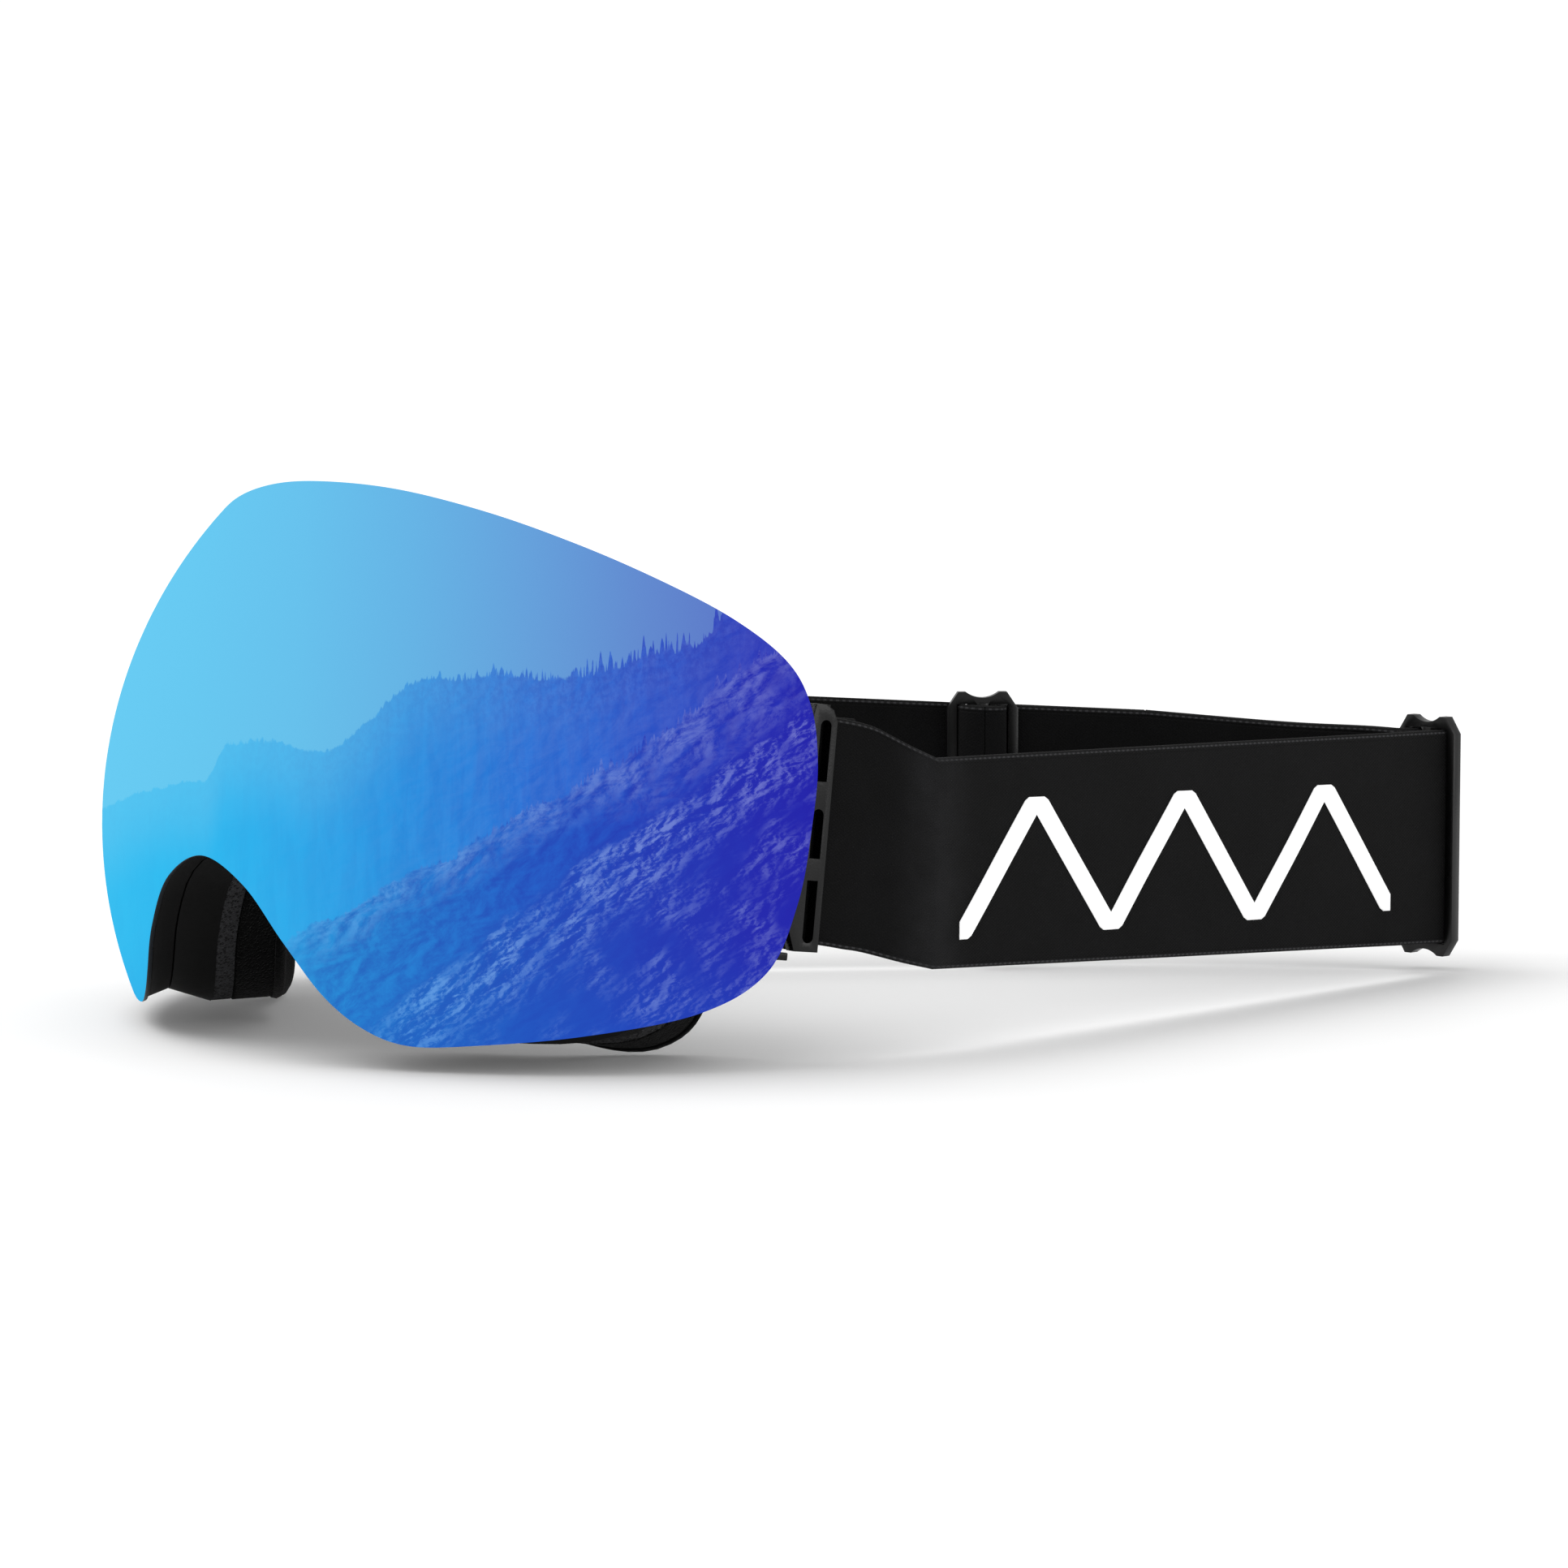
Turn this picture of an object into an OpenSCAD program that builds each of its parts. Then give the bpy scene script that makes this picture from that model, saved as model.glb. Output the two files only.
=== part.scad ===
// Ski goggles with a spherical magnetic lens, hinged strap outriggers and an
// elastic strap with two sliders. Millimetres, +Z up, lens facing -Y.
// Origin: the middle of the face opening, between the wearer's eyes.

/* [Lens] */
// Radius of the outer lens's outside surface
lens_radius = 90; // [86:1:100]
// Thickness of the outer lens
outer_lens_thickness = 1.2; // [1:0.1:1.4]
// Thickness of the inner lens
inner_lens_thickness = 0.8; // [0.6:0.1:1]
// Air gap between the outer and the inner lens
lens_gap = 3.4; // [3:0.1:3.6]
// Number of lens magnets on each side
magnets_per_side = 5; // [3:1:5]
// Diameter of each magnet
magnet_diameter = 2.8; // [2:0.1:2.9]
// How far the goggles lean back when they stand on a table, in degrees
lean_back = 7; // [0:1:8]

/* [Frame and foam] */
// Depth of the frame from the lens seat to the foam seat
frame_depth = 9; // [8:0.5:10]
// Thickness of the frame's outer wall
frame_wall = 1.8; // [1.4:0.1:2]
// How far the frame's sides are set in under the lens, in degrees
temple_setback = 11.5; // [10:0.5:12]
// Depth of the firm support foam
support_foam_depth = 4; // [4:0.5:6]
// Depth of the soft face foam
comfort_foam_depth = 10; // [9:0.5:13]
// Depth of the fleece on the foam
fleece_depth = 1.2; // [0.8:0.1:1.6]

/* [Outriggers] */
// Diameter of the outrigger hinge pins
hinge_pin_diameter = 2.4; // [2:0.1:2.6]
// Radial running clearance on every pin
pin_clearance = 0.05; // [0.02:0.01:0.1]
// Height of the outrigger's rear column
outrigger_height = 45; // [42:1:46]
// Thickness of the outrigger plate
outrigger_thickness = 2.6; // [2:0.1:2.8]

/* [Strap] */
// Width of the strap webbing
strap_width = 43; // [38:1:43]
// Thickness of the strap webbing
strap_thickness = 1.5; // [1.2:0.1:1.5]
// Distance from the lens centre back to the rear bend of the strap
strap_reach = 165; // [150:1:180]
// Height of the printed zigzag band
print_height = 26; // [18:1:30]
// Width of the printed line
print_stroke = 4.4; // [3:0.2:5]

/* [Hidden] */
$fn = 48;

// Height of the lens centre's level under the middle of the face opening
seal_height = 10;
// Gap that keeps bonded layers clear of each other
bond_gap = 0.1;

// Lens edge, right half, as [angle from the front, height] on the outer surface:
// first along the top to the widest point, then round the temple to the nose.
upper_edge = [
    [0, 60.6], [16, 59.8], [32, 56.8], [46, 52.3],
    [58, 46.9], [67.5, 41.2], [74.2, 34.6], [77, 27]
];
lower_edge = [
    [77.6, 16.5], [77, 5], [76.1, -9], [73.6, -21.8], [66, -30], [52, -35.8],
    [38, -39.4], [29.3, -40.6], [23.2, -38.3], [18, -33.1], [12.9, -24.3],
    [7.2, -14.8], [0, -10.2]
];
lens_steps = 4;
ring_steps = 3;

function unit(v) = v / norm(v);
function blend(a, b, t) = a + (b - a) * t;
function ramp(a, b, x) =
    let (t = max(0, min(1, (x - a) / (b - a)))) t * t * (3 - 2 * t);

// Smooth curve through a list of points, with the points before and after it
function through(p0, p1, p2, p3, t) =
    0.5 * (2 * p1 + (p2 - p0) * t + (2 * p0 - 5 * p1 + 4 * p2 - p3) * t * t
        + (3 * p1 - p0 - 3 * p2 + p3) * t * t * t);
function curve(points, before, after, steps) =
    let (all = concat([before], points, [after]))
    concat(
        [for (i = [1 : len(points) - 1], k = [0 : steps - 1])
            through(all[i - 1], all[i], all[i + 1], all[i + 2], k / steps)],
        [points[len(points) - 1]]
    );
function open_curve(points, steps) =
    let (n = len(points))
    curve(points, 2 * points[0] - points[1], 2 * points[n - 1] - points[n - 2], steps);

// Columns of the lens from the nose out to the temple: [angle, top, bottom]
function edge_columns(steps) =
    let (
        points = concat(upper_edge, lower_edge),
        last = len(points) - 1,
        half = curve(points, [-points[1][0], points[1][1]],
            [-points[last - 1][0], points[last - 1][1]], steps),
        widest = len(upper_edge) * steps,
        upper = [for (i = [0 : widest]) half[i]]
    )
    [for (i = [len(half) - 1 : -1 : widest])
        [half[i][0], i == widest ? half[i][1] : lookup(half[i][0], upper), half[i][1]]];

// The whole edge as a loop: right top, right bottom, left bottom, left top
function edge_loop(steps) =
    let (c = edge_columns(steps), n = len(c) - 1)
    concat(
        [for (i = [0 : n]) [c[i][0], c[i][1]]],
        [for (i = [n - 1 : -1 : 0]) [c[i][0], c[i][2]]],
        [for (i = [1 : n]) [-c[i][0], c[i][2]]],
        [for (i = [n - 1 : -1 : 1]) [-c[i][0], c[i][1]]]
    );

// Direction from the lens centre to an edge point
function edge_ray(p) =
    let (flat = sqrt(1 - pow(p[1] / 90, 2)))
    [flat * sin(p[0]), -flat * cos(p[0]), p[1] / 90];

// The frame follows the lens edge, but its sides are set in at the temples, and
// its lower outer corners reach further out and down, towards the cheeks
corner_out = 0.32;
corner_drop = 4;
function frame_angle(p) =
    p[0] - sign(p[0]) * temple_setback * ramp(35, 77.6, abs(p[0]))
        * (1 - corner_out * ramp(22, 34, -p[1]));
function frame_height(p) =
    p[1] - corner_drop * ramp(35, 62, abs(p[0])) * ramp(4, 24, -p[1]);
function frame_loop() = [for (p = edge_loop(ring_steps)) [frame_angle(p), frame_height(p)]];

FRAME_EDGE = frame_loop();
FRAME_RAYS = [for (p = FRAME_EDGE) edge_ray(p)];
FRAME_COUNT = len(FRAME_RAYS);

// Direction along the lens surface, inwards from the frame's edge
function inward(i) =
    let (
        ahead = FRAME_RAYS[(i + 1) % FRAME_COUNT],
        behind = FRAME_RAYS[(i + FRAME_COUNT - 1) % FRAME_COUNT]
    )
    unit(cross(ahead - behind, FRAME_RAYS[i]));

// Where a frame point goes as it moves back from the lens seat towards the face
function back_shift(ray, depth) =
    let (
        sideways = unit([-0.55 * ray[0], 1, 0]),
        brow = -0.2 * max(0, ray[2]) * depth,
        corner = ramp(0.52, 0.76, abs(ray[0])),
        cheek = depth < frame_depth ? -0.22 * depth
            : -0.22 * frame_depth + blend(0.12, -0.17, corner) * (depth - frame_depth)
    )
    depth * sideways + [0, 0, brow + cheek * ramp(0.1, 0.35, -ray[2])];

// Point of a ring at edge point i: inset from the edge, radius, depth behind
function ring_point(i, inset, radius, depth) =
    let (turn = inset / lens_radius * 180 / PI, ray = FRAME_RAYS[i])
    radius * (cos(turn) * ray + sin(turn) * inward(i)) + back_shift(ray, depth);

// Radii of the lens stack, from the outside in
inner_lens_radius = lens_radius - outer_lens_thickness - lens_gap;
carrier_front = lens_radius - outer_lens_thickness - bond_gap;
carrier_back = inner_lens_radius - inner_lens_thickness - 0.2;
seat_radius = carrier_back - 0.3;

// Insets from the frame's edge
rim_inset = 0.5;
seat_width = 7;
magnet_inset = 4.4;
foam_width = 9.5;
front_flange = 1.6;
rear_flange = 1.8;

module goggles() {
    translate([0, -seal_height * sin(lean_back), -seal_height * cos(lean_back)])
        rotate([-lean_back, 0, 0])
            children();
}

module standing() {
    translate([0, -seal_height * sin(lean_back), -seal_height * cos(lean_back)])
        children();
}

module on_side(side) {
    if (side == "right") children();
    else mirror([1, 0, 0]) children();
}

// ---- Lens ----

// Cone from the lens centre through the lens edge, inset from the edge
module lens_cone(loop_rays, columns) {
    far = 5 * lens_radius;
    count = len(loop_rays);
    n = columns;
    function top_right(i) = 1 + i;
    function bottom_right(i) = 1 + n + (n - i);
    function bottom_left(i) = i == 0 ? bottom_right(0) : 1 + 2 * n + i;
    function top_left(i) = i == 0 ? top_right(0) : 1 + 3 * n + (n - i);
    polyhedron(
        points = concat([[0, 0, 0]], [for (r = loop_rays) far * r]),
        faces = concat(
            [for (i = [0 : count - 1]) [0, 1 + i, 1 + (i + 1) % count]],
            [for (i = [0 : n - 1]) [top_right(i), bottom_right(i), top_right(i + 1)]],
            [for (i = [0 : n - 2])
                [top_right(i + 1), bottom_right(i), bottom_right(i + 1)]],
            [for (i = [0 : n - 1]) [top_left(i), top_left(i + 1), bottom_left(i)]],
            [for (i = [0 : n - 2])
                [top_left(i + 1), bottom_left(i + 1), bottom_left(i)]]
        )
    );
}

module shell(outside, thickness) {
    difference() {
        sphere(r = outside, $fn = 180);
        sphere(r = outside - thickness, $fn = 180);
    }
}

module outer_lens() {
    loop = edge_loop(lens_steps);
    color("deepskyblue")
        goggles()
            intersection() {
                shell(lens_radius, outer_lens_thickness);
                lens_cone([for (p = loop) edge_ray(p)], len(edge_columns(lens_steps)) - 1);
            }
}

module inner_lens() {
    inset = (seat_width + 0.7) / lens_radius * 180 / PI;
    rays = [for (i = [0 : FRAME_COUNT - 1])
        cos(inset) * FRAME_RAYS[i] + sin(inset) * inward(i)];
    color("lightgrey")
        goggles()
            intersection() {
                shell(inner_lens_radius, inner_lens_thickness);
                lens_cone(rays, len(edge_columns(ring_steps)) - 1);
            }
}

// A closed ring along the frame's edge with the given section, whose points are
// [inset, radius, depth]
module edge_ring(section) {
    n = len(section);
    points = [for (i = [0 : FRAME_COUNT - 1], s = section)
        ring_point(i, s[0], s[1], s[2])];
    polyhedron(
        points = points,
        faces = [for (i = [0 : FRAME_COUNT - 1], s = [0 : n - 1])
            let (
                j = (i + 1) % FRAME_COUNT,
                t = (s + 1) % n,
                a = i * n + s,
                b = i * n + t,
                c = j * n + t,
                d = j * n + s
            )
            each [[a, b, c], [a, c, d]]]
    );
}

module lens_gasket() {
    front = carrier_front;
    back = inner_lens_radius + bond_gap;
    color("dimgrey")
        goggles()
            edge_ring([
                [seat_width + 0.8, front, 0], [seat_width + 4.6, front, 0],
                [seat_width + 4.6, back, 0], [seat_width + 0.8, back, 0]
            ]);
}

// Channel behind the lens edge that holds the magnets
module lens_carrier() {
    groove_low = magnet_inset - magnet_diameter / 2 - 0.25;
    groove_high = magnet_inset + magnet_diameter / 2 + 0.25;
    groove_floor = carrier_back + 2.1;
    color("black")
        goggles()
            edge_ring([
                [rim_inset, carrier_front, 0], [seat_width, carrier_front, 0],
                [seat_width, carrier_back, 0], [groove_high, carrier_back, 0],
                [groove_high, groove_floor, 0], [groove_low, groove_floor, 0],
                [groove_low, carrier_back, 0], [rim_inset, carrier_back, 0]
            ]);
}

// Magnets sit at even steps of the columns, clear of the nose
function magnet_places() =
    let (n = (FRAME_COUNT) / 4)
    [for (k = [0 : magnets_per_side - 1])
        [6, 15, 25, n + 22, n + 16][k]];

module magnets(radius, depth, height) {
    for (k = magnet_places(), mirrored = [0, 1])
        mirror([mirrored, 0, 0])
            let (ray = FRAME_RAYS[k])
            translate(ring_point(k, magnet_inset, radius, depth))
                rotate([0, acos(ray[2]), atan2(ray[1], ray[0])])
                    translate([0, 0, -height])
                        cylinder(d = magnet_diameter, h = height);
}

module lens_magnets() {
    color("silver")
        goggles()
            magnets(carrier_back + 1.8, 0, 1.6);
}

// ---- Frame ----

// Vent windows, as angles from the front, along the brow and along the cheeks
brow_vents = [[4, 16], [20, 33], [37, 50], [53, 62]];
cheek_vents = [[34, 46], [49, 60]];
vent_front = 3.8;
vent_back = 6.4;

function in_range(a, ranges) =
    len([for (r = ranges) if (abs(a) >= r[0] && abs(a) <= r[1]) 1]) > 0;
function vented(i) =
    let (
        lens_edge = edge_loop(ring_steps),
        here = lens_edge[i],
        next = lens_edge[(i + 1) % FRAME_COUNT],
        ranges = here[1] > 30 ? brow_vents : cheek_vents
    )
    (here[1] > 30 || here[1] < -33.4)
        && in_range(here[0], ranges) && in_range(next[0], ranges)
        && sign(here[0]) == sign(next[0]);

VENTED = [for (i = [0 : FRAME_COUNT - 1]) vented(i)];

// Channel section: outer wall, lens seat flange and foam seat flange. Between
// vent_front and vent_back the wall is left out wherever VENTED says so.
module frame() {
    wall = rim_inset + frame_wall;
    inner = foam_width;
    section = [
        [rim_inset, 0], [seat_width - 0.6, 0], [seat_width - 0.6, front_flange],
        [wall, front_flange], [wall, vent_front], [wall, vent_back],
        [wall, frame_depth - rear_flange], [inner, frame_depth - rear_flange],
        [inner, frame_depth], [rim_inset, frame_depth],
        [rim_inset, vent_back], [rim_inset, vent_front]
    ];
    n = len(section);
    inner_wall = 4;
    outer_wall = 10;
    points = [for (i = [0 : FRAME_COUNT - 1], s = section)
        ring_point(i, s[0], seat_radius, s[1])];
    function at(i, s) = (i % FRAME_COUNT) * n + s;
    function strip(i, s, t) =
        [[at(i, s), at(i, t), at(i + 1, t)], [at(i, s), at(i + 1, t), at(i + 1, s)]];
    function cap(i) = [at(i, inner_wall), at(i, inner_wall + 1),
        at(i, outer_wall), at(i, outer_wall + 1)];
    function flip(f) = [for (k = [len(f) - 1 : -1 : 0]) f[k]];
    function halves(f) = [[f[0], f[1], f[2]], [f[0], f[2], f[3]]];
    color("black")
        goggles()
            polyhedron(
                points = points,
                faces = concat(
                    [for (i = [0 : FRAME_COUNT - 1], s = [0 : n - 1])
                        if (!VENTED[i] || (s != inner_wall && s != outer_wall))
                            each strip(i, s, (s + 1) % n)],
                    [for (i = [0 : FRAME_COUNT - 1])
                        if (VENTED[i])
                            each concat(strip(i, inner_wall, outer_wall + 1),
                                strip(i, outer_wall, inner_wall + 1))],
                    [for (i = [0 : FRAME_COUNT - 1])
                        if (VENTED[i] && !VENTED[(i + FRAME_COUNT - 1) % FRAME_COUNT])
                            each halves(cap(i))],
                    [for (i = [0 : FRAME_COUNT - 1])
                        if (VENTED[i] && !VENTED[(i + 1) % FRAME_COUNT])
                            each halves(flip(cap(i + 1)))]
                )
            );
}

module frame_magnets() {
    height = 1.3;
    color("silver")
        goggles()
            for (k = magnet_places(), mirrored = [0, 1])
                mirror([mirrored, 0, 0])
                    let (ray = FRAME_RAYS[k])
                    translate(ring_point(k, magnet_inset, seat_radius - 0.15, front_flange))
                        rotate([0, acos(ray[2]), atan2(ray[1], ray[0])])
                            translate([0, 0, -height])
                                cylinder(d = magnet_diameter, h = height);
}

// Open strip of foam inside the frame's wall, from edge point first to last
module vent_strip(first, last) {
    low = rim_inset + frame_wall + bond_gap;
    high = low + 1.2;
    section = [[low, vent_front - 0.3], [high, vent_front - 0.3],
        [high, vent_back + 0.3], [low, vent_back + 0.3]];
    count = last - first;
    points = [for (i = [first : last], s = section)
        ring_point((i + FRAME_COUNT) % FRAME_COUNT, s[0], seat_radius, s[1])];
    polyhedron(
        points = points,
        faces = concat(
            [for (i = [0 : count - 1], s = [0 : 3])
                let (
                    t = (s + 1) % 4,
                    a = 4 * i + s,
                    b = 4 * i + t
                )
                each [[a, b, b + 4], [a, b + 4, a + 4]]],
            [[2, 1, 0], [3, 2, 0]],
            [[4 * count, 4 * count + 1, 4 * count + 2],
                [4 * count, 4 * count + 2, 4 * count + 3]]
        )
    );
}

module top_vent_foam() {
    reach = max([for (i = [0 : FRAME_COUNT / 4]) if (VENTED[i]) i + 2]);
    color("darkslategrey")
        goggles()
            vent_strip(-reach, reach);
}

module bottom_vent_foam() {
    vents = [for (i = [FRAME_COUNT / 4 : FRAME_COUNT / 2]) if (VENTED[i]) i];
    color("darkslategrey")
        goggles()
            for (mirrored = [0, 1])
                mirror([mirrored, 0, 0])
                    vent_strip(min(vents) - 1, max(vents) + 2);
}

// ---- Face foam ----

module foam_layer(front, depth, outer, inner, round_back) {
    back = front + depth;
    edge_ring(concat(
        [for (s = [[outer, front], [inner, front]]) [s[0], seat_radius, s[1]]],
        round_back
            ? [for (s = [[inner, back - 2.5], [inner - 2, back],
                    [outer + 2, back], [outer, back - 2.5]])
                [s[0], seat_radius, s[1]]]
            : [for (s = [[inner, back], [outer, back]]) [s[0], seat_radius, s[1]]]
    ));
}

support_front = frame_depth + bond_gap;
comfort_front = support_front + support_foam_depth + bond_gap;
// The fleece turns sharply at the corners, so it lies a little further off
fleece_front = comfort_front + comfort_foam_depth + 3 * bond_gap;

module foam_support_layer() {
    color("dimgrey")
        goggles()
            foam_layer(support_front, support_foam_depth, 0.6, foam_width, false);
}

module foam_comfort_layer() {
    color("#202022")
        goggles()
            foam_layer(comfort_front, comfort_foam_depth, 0.2, foam_width + 0.6, false);
}

module fleece_lining() {
    color("black")
        goggles()
            foam_layer(fleece_front, fleece_depth, 0.2, foam_width + 0.6, false);
}

// ---- Outriggers ----

// Hinge pin of the right outrigger, and the plate's angle to the side
pin_x = 79.6;
pin_y = -26.5;
plate_angle = 11.6;
plate_length = 14.5;
bore_radius = hinge_pin_diameter / 2 + pin_clearance;
knuckle_radius = 2.6;
knuckle_low = -8.8;
knuckle_high = 10.8;
outrigger_low = -17.6;
// Webbing bar on the head side of the plate, in the plate's own directions
bar_along = 12.2;
bar_in = 4.6;
bar_radius = 1.3;
lug_thickness = 1.2;

// The right outrigger's own directions: X along the plate to the rear, Y inwards
module at_outrigger() {
    translate([pin_x, pin_y, 0])
        rotate([0, 0, 90 - plate_angle])
            children();
}

// Window of the ladder, rounded at one end
module ladder_window(low, height, rounded_top) {
    radius = 1.15;
    middle = 12.1;
    translate([middle - radius, low + (rounded_top ? 0 : radius)])
        square([2 * radius, height - radius]);
    translate([middle, rounded_top ? low + height - radius : low + radius])
        circle(r = radius);
}

// Flat ladder with three windows, joined to the knuckle in front
module ladder_plate() {
    high = outrigger_low + outrigger_height;
    half = outrigger_thickness / 2;
    translate([0, half, 0])
        rotate([90, 0, 0])
            linear_extrude(outrigger_thickness)
                difference() {
                    polygon([
                        [2.2, knuckle_low], [6, knuckle_low], [9.4, outrigger_low],
                        [plate_length, outrigger_low], [plate_length, high - 3],
                        [plate_length - 1, high - 0.9], [plate_length - 3, high],
                        [9.8, high], [6, knuckle_high], [2.2, knuckle_high]
                    ]);
                    ladder_window(outrigger_low + 1.6, 11.4, false);
                    ladder_window(outrigger_low + 17, 9, true);
                    ladder_window(outrigger_low + 31, 11.2, true);
                }
}

module outrigger(side) {
    high = outrigger_low + outrigger_height;
    color("#2a2a2c")
        goggles()
            on_side(side)
                at_outrigger()
                    union() {
                        difference() {
                            union() {
                                translate([0, 0, knuckle_low])
                                    cylinder(r = knuckle_radius,
                                        h = knuckle_high - knuckle_low);
                                ladder_plate();
                            }
                            translate([0, 0, outrigger_low - 5])
                                cylinder(r = bore_radius, h = outrigger_height + 10);
                        }
                        // webbing bar and the lugs that hold it
                        translate([bar_along, bar_in, outrigger_low])
                            cylinder(r = bar_radius, h = outrigger_height);
                        for (z = [outrigger_low, high - lug_thickness])
                            translate([bar_along - bar_radius, 0, z])
                                cube([2 * bar_radius, bar_in, lug_thickness]);
                    }
}

module outrigger_pin(side) {
    color("silver")
        goggles()
            on_side(side)
                translate([pin_x, pin_y, knuckle_low - 3.4])
                    cylinder(d = hinge_pin_diameter,
                        h = knuckle_high - knuckle_low + 6.8);
}

// Lens latch pivot, below the outrigger
latch_x = 76.4;
latch_y = -27.6;
latch_pin_radius = 0.8;
latch_z = -19.4;
latch_height = 1.4;

// Bracket moulded on the frame's temple wall, with ears for both pins
module hinge_bracket(side) {
    ear = 3;
    color("#1c1c1e")
        goggles()
            on_side(side)
                difference() {
                    union() {
                        // base along the frame's wall
                        translate([0, 0, -15])
                            linear_extrude(30)
                                polygon([[76.9, -34.6], [78, -32.6], [75.2, -26.6],
                                    [73.8, -27.4]]);
                        for (z = [knuckle_low - ear - 0.1, knuckle_high + 0.1])
                            translate([0, 0, z]) {
                                translate([pin_x, pin_y, 0])
                                    cylinder(r = knuckle_radius, h = ear);
                                linear_extrude(ear)
                                    polygon([[75.4, -31.6], [79.6, -29.1],
                                        [78.8, -24.2], [74.2, -27]]);
                            }
                        // arm down to the latch
                        translate([0, 0, latch_z - 1.8])
                            linear_extrude(9.8 + 1.8)
                                polygon([[75.6, -33.4], [77.6, -32.2], [76, -29.6],
                                    [74, -30.4]]);
                        for (z = [latch_z - 1.8, latch_z + latch_height + 0.1])
                            translate([0, 0, z]) {
                                translate([latch_x, latch_y, 0])
                                    cylinder(r = 1.9, h = 1.7);
                                linear_extrude(1.7)
                                    polygon([[74.4, -31], [76.8, -31],
                                        [78.2, -27.4], [74.6, -27.4]]);
                            }
                    }
                    translate([pin_x, pin_y, -40])
                        cylinder(d = hinge_pin_diameter, h = 80);
                    translate([latch_x, latch_y, -40])
                        cylinder(r = latch_pin_radius, h = 25);
                }
}

module latch_pin(side) {
    color("silver")
        goggles()
            on_side(side)
                translate([latch_x, latch_y, latch_z - 1.8])
                    cylinder(r = latch_pin_radius, h = latch_height + 3.5);
}

// Small lever whose tip stands out behind the lens edge
module lens_latch(side) {
    color("black")
        goggles()
            on_side(side)
                translate([latch_x, latch_y, latch_z])
                    difference() {
                        union() {
                            cylinder(r = 1.9, h = latch_height);
                            linear_extrude(latch_height)
                                polygon([[-0.4, 1.6], [1.8, 0.2], [5.7, 9.3],
                                    [4.6, 9.8], [3.4, 9.4]]);
                        }
                        translate([0, 0, -1])
                            cylinder(r = latch_pin_radius + pin_clearance, h = 4);
                    }
}

// ---- Strap ----

half_thick = strap_thickness / 2;
// The webbing is gathered a little where it is sewn round the outriggers' bars
sewn_width = strap_width - 1.8;
// Plan position of the webbing bars and the height of the strap there
bar_x = pin_x + bar_along * sin(plate_angle) - bar_in * cos(plate_angle);
bar_y = pin_y + bar_along * cos(plate_angle) + bar_in * sin(plate_angle);
strap_front_z = outrigger_low + outrigger_height / 2 - 0.4;
floor_z = -33.3;
slider_height = strap_width + 6;
strap_rear_z = floor_z + slider_height / 2;

// Rear slider's middle bar, and the layers wound on it
rear_x = 78;
rear_y = strap_reach;
slider_bar = 1.7;
layer_gap = 0.12;
sewn_radius = slider_bar + layer_gap + half_thick;
wound_radius = sewn_radius + strap_thickness + layer_gap;

// A band of webbing along stations [x, y, height of its middle, lean], where
// lean is how far its top edge stands back over its height
module ribbon(stations, width = strap_width, thick = strap_thickness) {
    n = len(stations);
    function side(i) =
        let (
            a = stations[max(0, i - 1)],
            b = stations[min(n - 1, i + 1)],
            d = unit([b[0] - a[0], b[1] - a[1]])
        )
        [d[1], -d[0], 0] * thick / 2;
    function corner(i, out, up) =
        let (s = stations[i])
        [s[0], s[1] + up * s[3] * width / 2, s[2] + up * width / 2] + out * side(i);
    points = [for (i = [0 : n - 1], c = [[1, -1], [1, 1], [-1, 1], [-1, -1]])
        corner(i, c[0], c[1])];
    polyhedron(
        points = points,
        faces = concat(
            [for (i = [0 : n - 2], s = [0 : 3])
                let (
                    t = (s + 1) % 4,
                    a = 4 * i + s,
                    b = 4 * i + t
                )
                each [[a, b, b + 4], [a, b + 4, a + 4]]],
            [[2, 1, 0], [3, 2, 0]],
            [[4 * n - 4, 4 * n - 3, 4 * n - 2], [4 * n - 4, 4 * n - 2, 4 * n - 1]]
        )
    );
}

// Sewn end of the webbing round the bar: X along the strap, Y inwards
leg_length = 9.5;
module strap_loop() {
    mid = bar_radius + layer_gap + half_thick;
    inner = mid - half_thick;
    outer = mid + half_thick;
    translate([0, 0, strap_front_z - sewn_width / 2])
        linear_extrude(sewn_width)
            union() {
                difference() {
                    circle(r = outer);
                    circle(r = inner);
                    translate([0, -outer - 1])
                        square([outer + 1, 2 * outer + 2]);
                }
                translate([-0.01, -outer])
                    square([leg_length, strap_thickness]);
                polygon([[-0.01, outer], [-0.01, inner], [1.2, inner],
                    [5.2, -inner], [leg_length - 0.6, -inner],
                    [leg_length - 0.6, -inner + strap_thickness],
                    [5.9, -inner + strap_thickness], [1.9, outer]]);
            }
}

// Heading of each strap as it leaves its bar, turned inwards from the plate
right_turn = -3;
left_turn = 50;

module strap_end(side) {
    color("#151517")
        goggles()
            on_side(side)
                at_outrigger()
                    translate([bar_along, bar_in, 0])
                        rotate([0, 0, side == "right" ? right_turn : left_turn])
                            strap_loop();
}

// Where the sewn leg ends, in plan, leaning with the goggles
leg_offset = bar_radius + layer_gap + half_thick;
function leg_point(turn, along) =
    let (heading = 90 - plate_angle + turn)
    [bar_x + along * cos(heading) + leg_offset * sin(heading),
        bar_y + along * sin(heading) - leg_offset * cos(heading)];
function leaned(p, mirrored) =
    [mirrored ? -p[0] : p[0],
        p[1] * cos(lean_back) + strap_front_z * sin(lean_back),
        strap_front_z * cos(lean_back) - p[1] * sin(lean_back)];

front_lean = tan(lean_back);
crease = [86.2, 13, -1.7, 0.02];
right_start = leaned(leg_point(right_turn, leg_length + bond_gap), false);
right_heading = leaned(leg_point(right_turn, leg_length + 4), false);

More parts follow.
